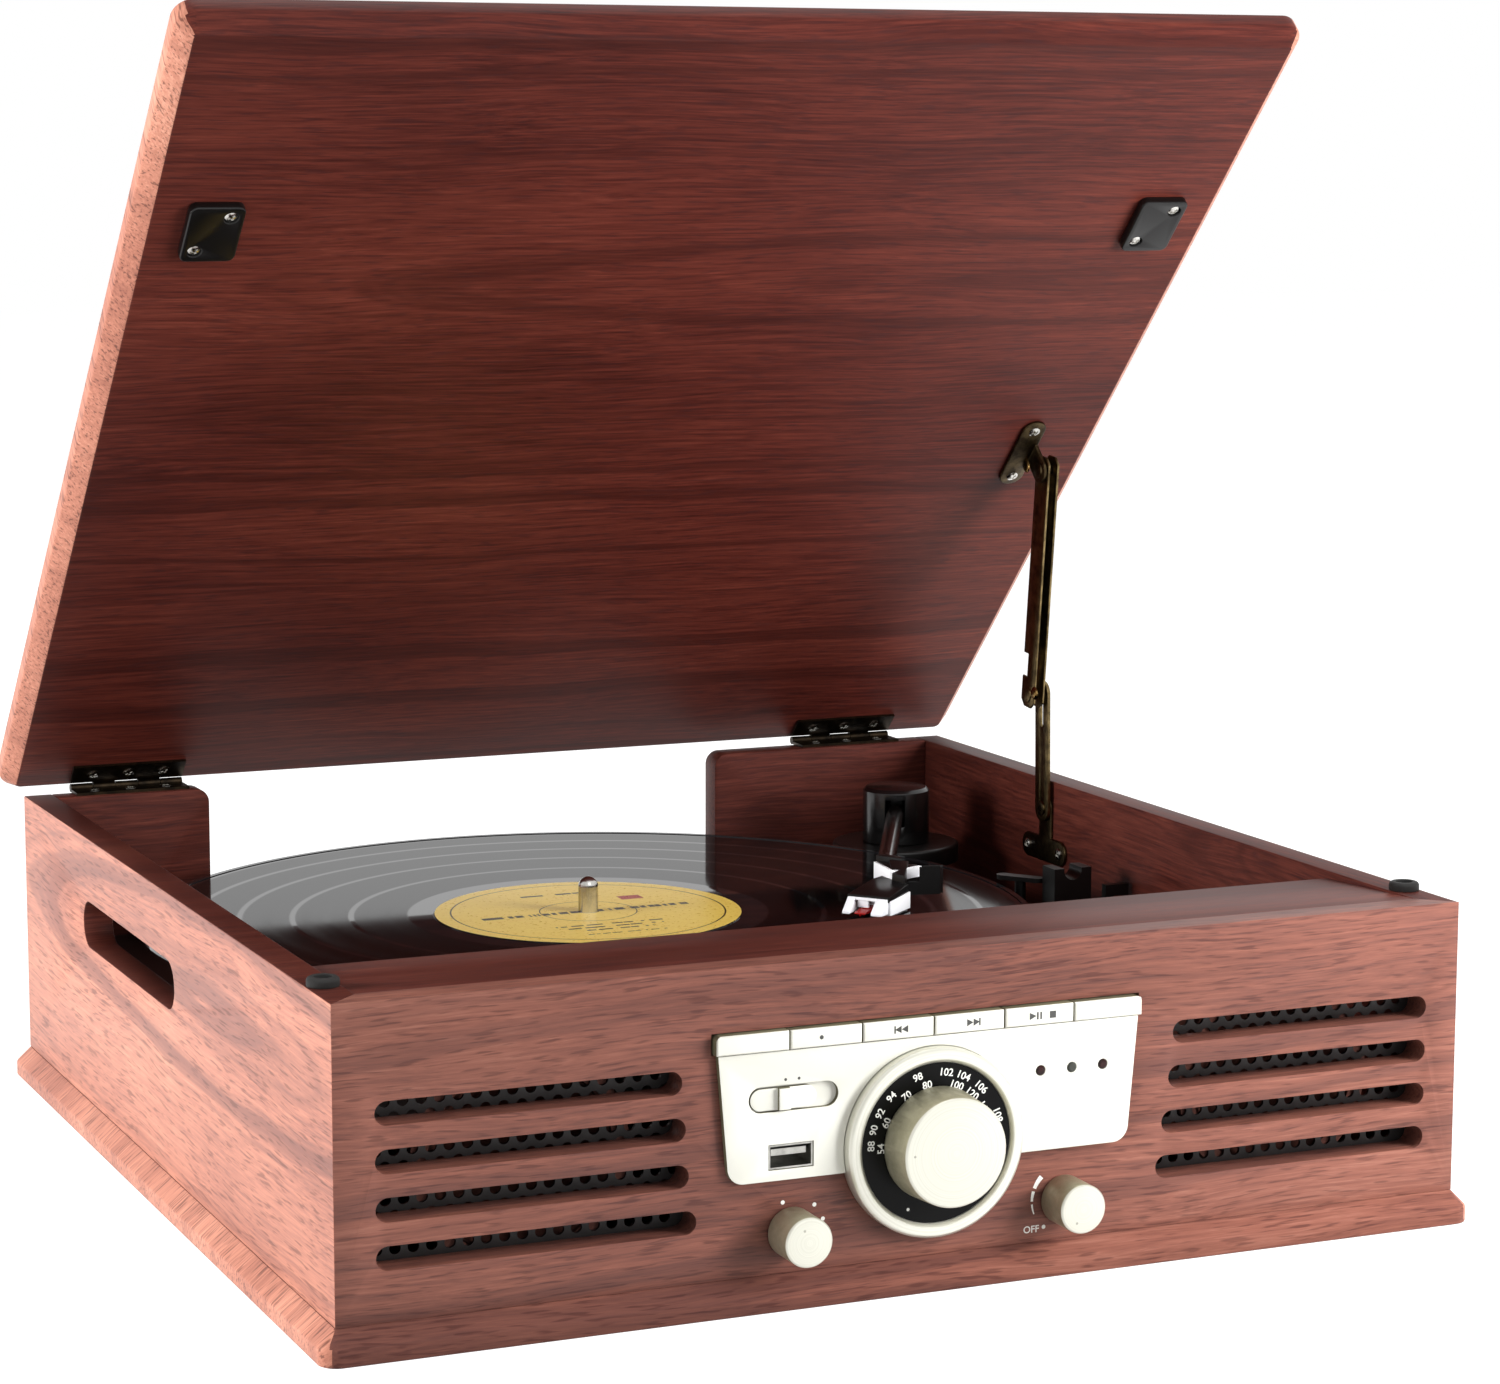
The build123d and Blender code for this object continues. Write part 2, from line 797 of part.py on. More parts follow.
def belt_loop(gap):
    """Area inside a belt that runs this far outside the platter's belt rim and the pulley."""
    large = belt_rim_radius + gap
    small = pulley_radius + gap
    tangent = math.acos((large - small) / motor_distance)
    heading = math.radians(motor_angle)
    corners = []
    for side in (1, -1):
        turn = heading + side * tangent
        corners.append((spindle_x + large * math.cos(turn), spindle_y + large * math.sin(turn)))
        corners.append((motor_x + small * math.cos(turn), motor_y + small * math.sin(turn)))
    with BuildSketch() as loop:
        with Locations((spindle_x, spindle_y)):
            Circle(large)
        with Locations((motor_x, motor_y)):
            Circle(small)
        with BuildLine():
            Polyline(corners[0], corners[1], corners[3], corners[2], close=True)
        make_face()
    return loop.sketch


with BuildPart() as drive_belt:
    with BuildSketch(Plane.XY.offset(belt_z)):
        add(belt_loop(moving_gap + belt_thickness))
        add(belt_loop(moving_gap), mode=Mode.SUBTRACT)
    extrude(amount=belt_width)
finish(drive_belt, "drive_belt")

# ================================================================ tonearm
arm_rad = math.radians(arm_angle)
head_rad = math.radians(arm_angle + head_angle)
arm_dir = (-math.sin(arm_rad), -math.cos(arm_rad), 0)
head_dir = (-math.sin(head_rad), -math.cos(head_rad), 0)
arm_plane = Plane((arm_x, arm_y, arm_z), x_dir=arm_dir, z_dir=(0, 0, 1))  # local x along the tube
head_origin = (arm_x + head_start * arm_dir[0], arm_y + head_start * arm_dir[1], arm_z)
head_plane = Plane(head_origin, x_dir=head_dir, z_dir=(0, 0, 1))  # local x along the head
head_side = Plane(head_origin, x_dir=head_dir, z_dir=head_plane.y_dir * -1)  # local y is up
disc_top = base_z + arm_disc_rise

with BuildPart() as arm_base:
    with BuildSketch(Plane.XY.offset(deck_z)):
        with Locations((arm_x, arm_y)):
            Circle(arm_post_radius)
    extrude(amount=disc_top - deck_z)
    with BuildSketch(Plane.XY.offset(disc_top)):
        with Locations((arm_x, arm_y)):
            Circle(arm_disc_radius)
    extrude(amount=-arm_disc_thickness)
    fillet(arm_base.edges().group_by(Axis.Z)[-1], arm_disc_edge)
    with BuildSketch(Plane.XY.offset(disc_top)):
        with Locations((arm_x, arm_y)):
            Circle(turret_pin_radius + running_clearance)
    extrude(amount=-turret_pin_length - moving_gap, mode=Mode.SUBTRACT)
finish(arm_base, "arm_base")

turret_bottom = disc_top + moving_gap
turret_top = base_z + turret_rise
slot_half = arm_tube_radius + turret_slot_margin
with BuildPart() as arm_turret:
    with BuildSketch(Plane.XY.offset(turret_bottom)):
        with Locations((arm_x, arm_y)):
            Circle(turret_radius)
    extrude(amount=turret_top + turret_cap - turret_bottom)
    chamfer(arm_turret.edges().group_by(Axis.Z)[-1], turret_bevel)
    # slot that the tube lies and lifts in
    with BuildSketch(arm_plane.offset(-turret_slot_floor)):
        with Locations((turret_radius - turret_slot_back / 2, 0)):
            Rectangle(2 * turret_radius + turret_slot_back, 2 * slot_half)
    extrude(amount=turret_top - arm_z + turret_slot_floor, mode=Mode.SUBTRACT)
    # cross pin that the tube lifts on
    with BuildSketch(Plane(arm_plane.origin, x_dir=arm_dir, z_dir=arm_plane.y_dir)):
        Circle(arm_pivot_radius)
    extrude(amount=slot_half, both=True)
    with BuildSketch(Plane.XY.offset(turret_bottom)):
        with Locations((arm_x, arm_y)):
            Circle(turret_pin_radius)
    extrude(amount=-turret_pin_length)
finish(arm_turret, "arm_turret")

tube_plane = Plane(arm_plane.origin, x_dir=arm_plane.y_dir, z_dir=arm_dir)  # faces along the tube
with BuildPart() as tonearm_tube:
    with BuildSketch(tube_plane.offset(-arm_tube_tail)):
        Circle(arm_tube_radius)
    extrude(amount=arm_tube_tail + arm_tube_length)
    with BuildSketch(Plane(arm_plane.origin, x_dir=arm_dir, z_dir=arm_plane.y_dir)):
        Circle(arm_pivot_radius + running_clearance)
    extrude(amount=2 * arm_tube_radius, both=True, mode=Mode.SUBTRACT)
finish(tonearm_tube, "tonearm_tube")

head_bottom = -head_below_axis
head_top = head_bottom + head_height
head_nose = head_top - head_nose_drop
with BuildPart() as headshell:
    with BuildSketch(head_side.offset(head_left)):
        with BuildLine():
            Polyline(
                (-head_back, head_bottom),
                (head_front, head_bottom),
                (head_front, head_nose),
                (head_flat - head_back, head_top),
                (-head_back, head_top),
                close=True,
            )
        make_face()
    extrude(amount=-(head_left + head_right))
    # bevel along the left edge
    with BuildSketch(Plane(head_origin, x_dir=head_plane.y_dir, z_dir=head_dir)):
        with BuildLine():
            Polyline(
                (-head_left, head_top - head_shoulder),
                (-head_left + head_shoulder, head_top),
                (-head_left, head_top),
                close=True,
            )
        make_face()
    extrude(amount=head_front, both=True, mode=Mode.SUBTRACT)
    # finger lift on the right
    with BuildSketch(head_plane.offset(head_bottom + moving_gap)):
        with BuildLine():
            Polyline(
                (finger_start, head_right),
                (finger_back, head_right + finger_reach),
                (finger_back - finger_thickness, head_right + finger_reach),
                (finger_start - finger_thickness, head_right),
                close=True,
            )
        make_face()
    extrude(amount=finger_height)
    # collar and socket for the tube's end
    with BuildSketch(tube_plane.offset(collar_start)):
        Circle(collar_radius)
    extrude(amount=collar_end - collar_start)
    with BuildSketch(tube_plane.offset(collar_start)):
        Circle(arm_tube_radius + running_clearance)
    extrude(amount=arm_tube_length - collar_start + running_clearance, mode=Mode.SUBTRACT)
finish(headshell, "headshell")

guard_low = record_top + guard_clearance - arm_z
guard_legs = ((guard_left, guard_leg), (guard_right_leg - guard_right, guard_right_leg))
with BuildPart() as cartridge:
    # body under the head
    with BuildSketch(head_plane.offset(guard_low)):
        with Locations(((cartridge_start + cartridge_end) / 2, 0)):
            Rectangle(cartridge_end - cartridge_start, cartridge_width)
    extrude(amount=head_bottom - guard_low)
    # sloped guard legs either side of the stylus, from the body forwards
    for outside, width in guard_legs:
        with BuildSketch(head_side.offset(outside)):
            with BuildLine():
                Polyline(
                    (stylus_back, guard_low),
                    (guard_tip, guard_low),
                    (guard_tip, guard_low + guard_tip_height),
                    (head_front + guard_bar, head_nose),
                    (head_front, head_nose),
                    (head_front, head_bottom),
                    (stylus_back, head_bottom),
                    close=True,
                )
            make_face()
        extrude(amount=-width)
    # plate along the head's right side
    with BuildSketch(head_side.offset(-head_right)):
        with BuildLine():
            Polyline(
                (guard_plate_back, guard_low),
                (head_front, guard_low),
                (head_front, head_nose),
                (guard_plate_back, head_bottom + guard_plate_rise),
                close=True,
            )
        make_face()
    extrude(amount=-(guard_right - head_right))
    # bar across the top of the legs, in front of the head
    with BuildSketch(head_plane.offset(head_nose - guard_bar)):
        with Locations((head_front + guard_bar / 2, (guard_right - guard_left) / 2)):
            Rectangle(guard_bar, guard_right + guard_left)
    extrude(amount=guard_bar)
    # recess that the stylus holder slides into
    with BuildSketch(head_side):
        with Locations(((stylus_back + cartridge_end) / 2, guard_low)):
            Rectangle(cartridge_end - stylus_back, 2 * stylus_holder)
    extrude(amount=stylus_width / 2 + running_clearance, both=True, mode=Mode.SUBTRACT)
finish(cartridge, "cartridge")

stylus_bottom = record_top + stylus_clearance - arm_z
with BuildPart() as stylus:
    with BuildSketch(head_side):
        with BuildLine():
            Polyline(
                (stylus_back, guard_low),
                (stylus_reach + stylus_tip_radius, guard_low),
                (stylus_reach + stylus_tip_radius, guard_low + stylus_tip_radius),
                (cartridge_end, guard_low + stylus_holder - running_clearance),
                (stylus_back, guard_low + stylus_holder - running_clearance),
                close=True,
            )
        make_face()
    extrude(amount=stylus_width / 2, both=True)
    with BuildSketch(head_plane.offset(guard_low)):
        with Locations((stylus_reach, 0)):
            Circle(stylus_tip_radius)
    extrude(amount=stylus_bottom - guard_low, taper=stylus_taper)
finish(stylus, "stylus")

rest_top = arm_z - arm_tube_radius - rest_clear_tube
ear_offset = lever_hub_width / 2 + moving_gap + lever_ear_thickness / 2
lever_axis_z = deck_z + lever_pivot_rise
with BuildPart() as arm_rest:
    with BuildSketch(Plane.XY.offset(deck_z)):
        with Locations((rest_x, rest_y)):
            Rectangle(rest_width, rest_depth)
    extrude(amount=rest_top - deck_z)
    # notch that the parked tube lies over
    with BuildSketch(Plane.XZ.offset(-rest_y - rest_depth / 2)):
        with Locations((rest_x, base_z + rest_notch_floor + rest_notch_width / 2)):
            Circle(rest_notch_width / 2)
        with Locations((rest_x, rest_top + rest_notch_width / 2)):
            Rectangle(rest_notch_width, 2 * (rest_top - base_z - rest_notch_floor) + moving_gap)
    extrude(amount=rest_depth, mode=Mode.SUBTRACT)
    # sleeve of the cue lift
    with BuildSketch(Plane.XY.offset(deck_z)):
        with Locations((lift_x, lift_y)):
            Circle(lift_housing_radius)
            Circle(lift_post_radius + running_clearance, mode=Mode.SUBTRACT)
    extrude(amount=lift_housing_height)
    # ears and pin of the cue lever
    with BuildSketch(Plane.XY.offset(deck_z)):
        with Locations((lever_x - ear_offset, lever_y), (lever_x + ear_offset, lever_y)):
            Rectangle(lever_ear_thickness, 2 * lever_hub_radius)
    extrude(amount=lever_pivot_rise + lever_hub_radius)
    with BuildSketch(Plane.YZ.offset(lever_x)):
        with Locations((lever_y, lever_axis_z)):
            Circle(lever_pin_radius)
    extrude(amount=ear_offset, both=True)
finish(arm_rest, "arm_rest")

lift_top = base_z + lift_top_rise
with BuildPart() as cue_lift:
    with BuildSketch(Plane((lift_x, lift_y, lift_top), x_dir=(1, 0, 0), z_dir=(0, 0, 1))):
        SlotOverall(lift_bar_length, lift_bar_width, rotation=lift_bar_angle)
    extrude(amount=-lift_bar_thickness)
    with BuildSketch(Plane((lift_x, lift_y, lift_top), x_dir=(1, 0, 0), z_dir=(0, 0, 1))):
        Circle(lift_post_radius)
    extrude(amount=-lift_post_depth)
finish(cue_lift, "cue_lift")

lever_top = base_z + lever_top_rise
with BuildPart() as cue_lever:
    with BuildSketch(Plane.YZ.offset(lever_x - lever_hub_width / 2)):
        with Locations((lever_y, lever_axis_z)):
            Circle(lever_hub_radius)
    extrude(amount=lever_hub_width)
    with BuildSketch(Plane.XY.offset(lever_axis_z)):
        with Locations((lever_x, lever_y)):
            Rectangle(lever_stem_width, lever_stem_depth)
    extrude(amount=lever_top - lever_axis_z)
    with BuildSketch(Plane.XY.offset(lever_top)):
        with Locations((lever_x - lever_stem_width / 2 + lever_handle_length / 2, lever_y)):
            Rectangle(lever_handle_length, lever_stem_depth)
    extrude(amount=-lever_handle_height)
    with BuildSketch(Plane.YZ.offset(lever_x)):
        with Locations((lever_y, lever_axis_z)):
            Circle(lever_pin_radius + running_clearance)
    extrude(amount=lever_hub_width, both=True, mode=Mode.SUBTRACT)
finish(cue_lever, "cue_lever")

# ================================================================ control panel
with BuildPart() as control_fascia:
    with BuildSketch(front_plane):
        add(fascia_outline(0, fascia_corner, moving_gap))
    extrude(amount=fascia_flange)
    with BuildSketch(front_plane):
        add(fascia_outline(fascia_edge + fascia_fit, fascia_corner - fascia_edge, moving_gap))
    extrude(amount=-wall)
    with BuildSketch(front_plane.offset(-fascia_skin)):
        add(fascia_outline(fascia_edge + fascia_rim, fascia_corner - fascia_edge, fascia_rim))
    extrude(amount=-wall, mode=Mode.SUBTRACT)
    # the dial ring passes through the fascia and stands on the wood
    with BuildSketch(front_plane):
        with Locations((0, base_z + dial_rise)):
            Circle(dial_ring_outer + dial_fit)
    extrude(amount=fascia_flange, mode=Mode.SUBTRACT)
    with BuildSketch(front_plane):
        with Locations((0, base_z + dial_rise)):
            Circle(dial_opening)
    extrude(amount=-wall, mode=Mode.SUBTRACT)
    # recess and slot of the slide switch
    with BuildSketch(front_plane.offset(fascia_flange)):
        with Locations((slide_x, base_z + slide_rise)):
            SlotOverall(slide_recess_length, slide_recess_height)
    extrude(amount=-slide_recess_depth, mode=Mode.SUBTRACT)
    with BuildSketch(front_plane.offset(fascia_flange)):
        with Locations((slide_x, base_z + slide_rise)):
            Rectangle(slide_travel + slide_stem + 2 * slide_end_gap, slide_stem + 2 * moving_gap)
        for lamp in range(led_count):
            with Locations((led_first_x + lamp * led_pitch, base_z + led_rise)):
                Circle(led_radius + led_fit)
    extrude(amount=-(fascia_flange + fascia_skin), mode=Mode.SUBTRACT)
    with BuildSketch(front_plane.offset(fascia_flange)):
        with Locations((usb_x, base_z + usb_rise)):
            Rectangle(usb_width, usb_height)
    extrude(amount=-(fascia_flange + wall), mode=Mode.SUBTRACT)
finish(control_fascia, "control_fascia")

dial_centre = (0, base_z + dial_rise)
with BuildPart() as dial_ring:
    with BuildSketch(front_plane):
        with Locations(dial_centre):
            Circle(dial_ring_outer)
            Circle(dial_ring_inner, mode=Mode.SUBTRACT)
    extrude(amount=dial_ring_proud)
    chamfer(dial_ring.edges().group_by(Axis.Y)[0], dial_ring_bevel)
finish(dial_ring, "dial_ring")

with BuildPart() as dial_scale:
    with BuildSketch(front_plane):
        with Locations(dial_centre):
            Circle(dial_opening - dial_fit)
    extrude(amount=-scale_rim)
    with BuildSketch(front_plane):
        with Locations(dial_centre):
            Circle(dial_ring_inner - dial_fit)
    extrude(amount=scale_proud)
    with BuildSketch(front_plane.offset(scale_proud)):
        with Locations(dial_centre):
            Circle(control_shaft_radius + 2 * moving_gap)
    extrude(amount=-(scale_proud + scale_rim), mode=Mode.SUBTRACT)
finish(dial_scale, "dial_scale")

front_board_plane = front_plane.offset(-(wall + board_setback))  # the board's front face
shaft_back = wall + board_setback - control_body_depth + control_bore_depth - moving_gap
control_places = (dial_centre, (-knob_x, base_z + knob_rise), (knob_x, base_z + knob_rise))
key_z = base_z + fascia_top_rise - button_height / 2
key_places = [(button_pitch * (key + 0.5) - button_row_half, key_z) for key in range(button_count)]

with BuildPart() as front_board:
    with BuildSketch(front_board_plane):
        with Locations((0, base_z + (board_bottom_rise + board_top_rise) / 2)):
            Rectangle(2 * board_half_width, board_top_rise - board_bottom_rise)
    extrude(amount=-board_thickness)
    # feet that stand on the plinth
    with BuildSketch(Plane.XY.offset(base_z)):
        for side in (-1, 1):
            foot_x = side * (board_half_width - control_body / 2)
            foot_y = inner_front_y + board_setback + board_thickness + board_foot / 2
            with Locations((foot_x, foot_y)):
                Rectangle(control_body, board_foot)
    extrude(amount=control_body)
finish(front_board, "front_board")

with BuildPart() as panel_switches:
    with BuildSketch(front_board_plane):
        with Locations(*control_places):
            Rectangle(control_body, control_body)
    extrude(amount=control_body_depth)
    with BuildSketch(front_board_plane.offset(control_body_depth)):
        with Locations(*control_places):
            Circle(control_shaft_radius + running_clearance)
    extrude(amount=-control_bore_depth, mode=Mode.SUBTRACT)
    # one key switch behind each button
    with BuildSketch(front_board_plane):
        with Locations(*key_places):
            Rectangle(key_switch_size, key_switch_size)
    extrude(amount=key_switch_depth)
    # slide switch
    with BuildSketch(front_board_plane):
        with Locations((slide_x, base_z + slide_rise)):
            Rectangle(slide_knob_length, slide_recess_height)
    extrude(amount=board_setback + wall - slide_switch_setback)
finish(panel_switches, "panel_switches")

with BuildPart() as usb_socket:
    usb_centre = (usb_x, base_z + usb_rise)
    with BuildSketch(front_plane.offset(fascia_flange - moving_gap)):
        with Locations(usb_centre):
            Rectangle(usb_width - 2 * fascia_fit, usb_height - 2 * fascia_fit)
            Rectangle(
                usb_width - 2 * fascia_fit - 2 * usb_shell,
                usb_height - 2 * fascia_fit - 2 * usb_shell,
                mode=Mode.SUBTRACT,
            )
    extrude(amount=-(fascia_flange - moving_gap + wall + board_setback))
    # solid back and contact tongue
    with BuildSketch(front_board_plane):
        with Locations(usb_centre):
            Rectangle(usb_width - 2 * fascia_fit, usb_height - 2 * fascia_fit)
    extrude(amount=board_setback)
    with BuildSketch(front_board_plane):
        with Locations((usb_x, base_z + usb_rise + usb_tongue_height / 2)):
            Rectangle(usb_tongue_width, usb_tongue_height)
    extrude(amount=board_setback + wall)
finish(usb_socket, "usb_socket")

with BuildPart() as indicator_leds:
    with BuildSketch(front_board_plane):
        for lamp in range(led_count):
            with Locations((led_first_x + lamp * led_pitch, base_z + led_rise)):
                Circle(led_radius)
    extrude(amount=board_setback + wall + fascia_flange + led_radius / 3)
    fillet(indicator_leds.edges().group_by(Axis.Y)[0], led_radius / 2)
finish(indicator_leds, "indicator_leds")

button_back = fascia_flange + button_proud - button_depth  # in front of the wood
stem_back = wall + board_setback - key_switch_depth - button_travel - moving_gap  # behind the wood's face
for key, place in enumerate(key_places, start=1):
    with BuildPart() as button:
        with BuildSketch(front_plane.offset(fascia_flange + button_proud)):
            with Locations(place):
                Rectangle(button_pitch - button_gap, button_height)
        extrude(amount=-button_depth)
        chamfer(button.edges().group_by(Axis.Y)[0], button_bevel)
        with BuildSketch(front_plane.offset(button_back)):
            with Locations(place):
                Rectangle(button_stem, button_stem)
        extrude(amount=-(stem_back + button_back))
    finish(button, f"button_{key}")

with BuildPart() as tuning_knob:
    with BuildSketch(Plane((0, front_y, base_z + dial_rise), x_dir=(1, 0, 0), z_dir=(0, 0, 1))):
        with BuildLine():
            Polyline(
                (0, shaft_back),
                (control_shaft_radius, shaft_back),
                (control_shaft_radius, -tuning_off_panel),
                (tuning_base_radius, -tuning_off_panel),
                (tuning_face_radius, -tuning_off_panel - tuning_length + knob_chamfer),
                (tuning_face_radius - knob_chamfer, -tuning_off_panel - tuning_length),
                (0, -tuning_off_panel - tuning_length),
                close=True,
            )
        make_face()
    revolve(axis=Axis((0, front_y, base_z + dial_rise), (0, 1, 0)))
finish(tuning_knob, "tuning_knob")

for name, side in (("selector_knob", -1), ("volume_knob", 1)):
    with BuildPart() as small_knob:
        knob_centre = (side * knob_x, front_y, base_z + knob_rise)
        with BuildSketch(Plane(knob_centre, x_dir=(1, 0, 0), z_dir=(0, 0, 1))):
            with BuildLine():
                Polyline(
                    (0, shaft_back),
                    (control_shaft_radius, shaft_back),
                    (control_shaft_radius, -knob_off_panel),
                    (knob_radius, -knob_off_panel),
                    (knob_radius, -knob_off_panel - knob_length + knob_chamfer),
                    (knob_radius - knob_chamfer, -knob_off_panel - knob_length),
                    (0, -knob_off_panel - knob_length),
                    close=True,
                )
            make_face()
        revolve(axis=Axis(knob_centre, (0, 1, 0)))
    finish(small_knob, name)

slide_knob_x = slide_x - slide_recess_length / 2 + slide_end_gap + slide_knob_length / 2
slide_knob_back = fascia_flange - slide_recess_depth + slide_knob_proud  # in front of the wood
with BuildPart() as slide_knob:
    with BuildSketch(front_plane.offset(slide_knob_back)):
        with Locations((slide_knob_x, base_z + slide_rise)):
            SlotOverall(slide_knob_length, slide_knob_height)
    extrude(amount=slide_recess_depth)
    with BuildSketch(front_plane.offset(fascia_flange)):
        with Locations((slide_knob_x, base_z + slide_rise)):
            Rectangle(slide_ridge_width, slide_knob_height)
    extrude(amount=slide_ridge_proud)
    chamfer(slide_knob.edges().group_by(Axis.Y)[0], slide_knob_proud)
    with BuildSketch(front_plane.offset(slide_knob_back)):
        with Locations((slide_x - slide_travel / 2, base_z + slide_rise)):
            Rectangle(slide_stem, slide_stem)
    extrude(amount=-(slide_knob_back + slide_switch_setback - moving_gap))
finish(slide_knob, "slide_knob")

# ================================================================ loudspeakers
with BuildPart() as speaker_grilles:
    grille_width = inner_x - moving_gap - grille_inner_x
    grille_height = grille_top_rise - grille_bottom_rise
    rows = int(grille_height / (grille_hole_pitch * math.sin(math.pi / 3))) - 1
    columns = int(grille_width / grille_hole_pitch) - 1
    for side in (-1, 1):
        grille_x = side * (grille_inner_x + grille_width / 2)
        grille_z = base_z + (grille_bottom_rise + grille_top_rise) / 2
        with BuildSketch(front_plane.offset(-wall)):
            with Locations((grille_x, grille_z)):
                Rectangle(grille_width, grille_height)
            for row in range(rows):
                row_z = grille_z + (row - (rows - 1) / 2) * grille_hole_pitch * math.sin(math.pi / 3)
                shift = (row % 2 - 0.5) * grille_hole_pitch / 2
                with Locations((grille_x + shift, row_z)):
                    with GridLocations(grille_hole_pitch, grille_hole_pitch, columns, 1):
                        Circle(grille_hole_radius, mode=Mode.SUBTRACT)
        extrude(amount=-grille_thickness)
finish(speaker_grilles, "speaker_grilles")

speaker_front = inner_front_y + grille_thickness
basket_back = speaker_front + speaker_basket_depth
cone_outer = speaker_cone_radius - cone_edge_gap
cone_front = speaker_front + speaker_flange / 2
with BuildPart() as speaker_drivers:
    for side in (-1, 1):
        section = Plane((side * speaker_x, 0, base_z + speaker_rise), x_dir=(1, 0, 0), z_dir=(0, 0, 1))
        driver_axis = Axis((side * speaker_x, 0, base_z + speaker_rise), (0, 1, 0))
        # basket and magnet
        with BuildSketch(section):
            with BuildLine():
                Polyline(
                    (speaker_cone_radius, speaker_front),
                    (speaker_radius, speaker_front),
                    (speaker_radius, speaker_front + speaker_flange),
                    (speaker_back_radius + speaker_sheet, basket_back),
                    (magnet_radius, basket_back),
                    (magnet_radius, basket_back + magnet_depth),
                    (0, basket_back + magnet_depth),
                    (0, basket_back - speaker_sheet),
                    (speaker_back_radius, basket_back - speaker_sheet),
                    (speaker_cone_radius, speaker_front + speaker_flange),
                    close=True,
                )
            make_face()
        revolve(axis=driver_axis)
        # paper cone
        with BuildSketch(section):
            with BuildLine():
                Polyline(
                    (cone_outer, cone_front),
                    (cone_centre_radius, cone_front + cone_depth),
                    (0, cone_front + cone_depth - cone_thickness),
                    (0, cone_front + cone_depth),
                    (cone_centre_radius, cone_front + cone_depth + cone_thickness),
                    (cone_outer, cone_front + cone_thickness),
                    close=True,
                )
            make_face()
        revolve(axis=driver_axis)
finish(speaker_drivers, "speaker_drivers")

# ================================================================ power, boards and sockets
with BuildPart() as transformer:
    with BuildSketch(Plane.XY.offset(base_z)):
        with Locations((transformer_x, transformer_y)):
            Rectangle(transformer_width, transformer_core)
    extrude(amount=transformer_height)
    # winding through the core
    with BuildSketch(Plane.XY.offset(base_z + coil_margin)):
        with Locations((transformer_x, transformer_y)):
            Rectangle(transformer_width - 2 * coil_margin, transformer_depth)
    extrude(amount=transformer_height - 2 * coil_margin)
    fillet(transformer.edges().filter_by(Axis.Z).group_by(Axis.Y)[0], coil_margin / 2)
    fillet(transformer.edges().filter_by(Axis.Z).group_by(Axis.Y)[-1], coil_margin / 2)
finish(transformer, "transformer")

with BuildPart() as main_board:
    with BuildSketch(Plane.XY.offset(base_z + main_board_rise)):
        with Locations((main_board_x, main_board_y)):
            Rectangle(main_board_width, main_board_depth)
    extrude(amount=board_thickness)
    with BuildSketch(Plane.XY.offset(base_z)):
        with Locations((main_board_x, main_board_y)):
            with GridLocations(
                main_board_width - 2 * standoff_inset, main_board_depth - 2 * standoff_inset, 2, 2
            ):
                Circle(standoff_radius)
    extrude(amount=main_board_rise)
    with BuildSketch(Plane.XY.offset(base_z + main_board_rise + board_thickness)):
        with Locations((main_board_x, main_board_y)):
            with GridLocations(3 * capacitor_radius, 3 * capacitor_radius, 3, 2):
                Circle(capacitor_radius)
    extrude(amount=capacitor_height)
    with BuildSketch(Plane.XY.offset(base_z + main_board_rise + board_thickness)):
        with Locations((main_board_x, main_board_y + main_board_depth / 2 - heatsink_depth)):
            Rectangle(heatsink_width, heatsink_depth)
    extrude(amount=heatsink_height)
finish(main_board, "main_board")

plate_centre = (-socket_x, base_z + socket_rise)
plate_plane = back_plane.offset(socket_plate_thickness)
jack_places = [(-socket_x - jack_first_x - k * jack_pitch, base_z + socket_rise) for k in range(2)]
aux_place = (-socket_x - aux_offset, base_z + socket_rise)
inlet_place = (-socket_x - inlet_offset, base_z + socket_rise)
with BuildPart() as socket_plate:
    with BuildSketch(back_plane):
        with Locations(plate_centre):
            Rectangle(socket_plate_width, socket_plate_height)
        with Locations(*jack_places, aux_place):
            Circle(jack_collar_radius + fascia_fit, mode=Mode.SUBTRACT)
        with Locations(inlet_place):
            Rectangle(inlet_width + 2 * fascia_fit, inlet_height + 2 * fascia_fit, mode=Mode.SUBTRACT)
    extrude(amount=socket_plate_thickness)
finish(socket_plate, "socket_plate")

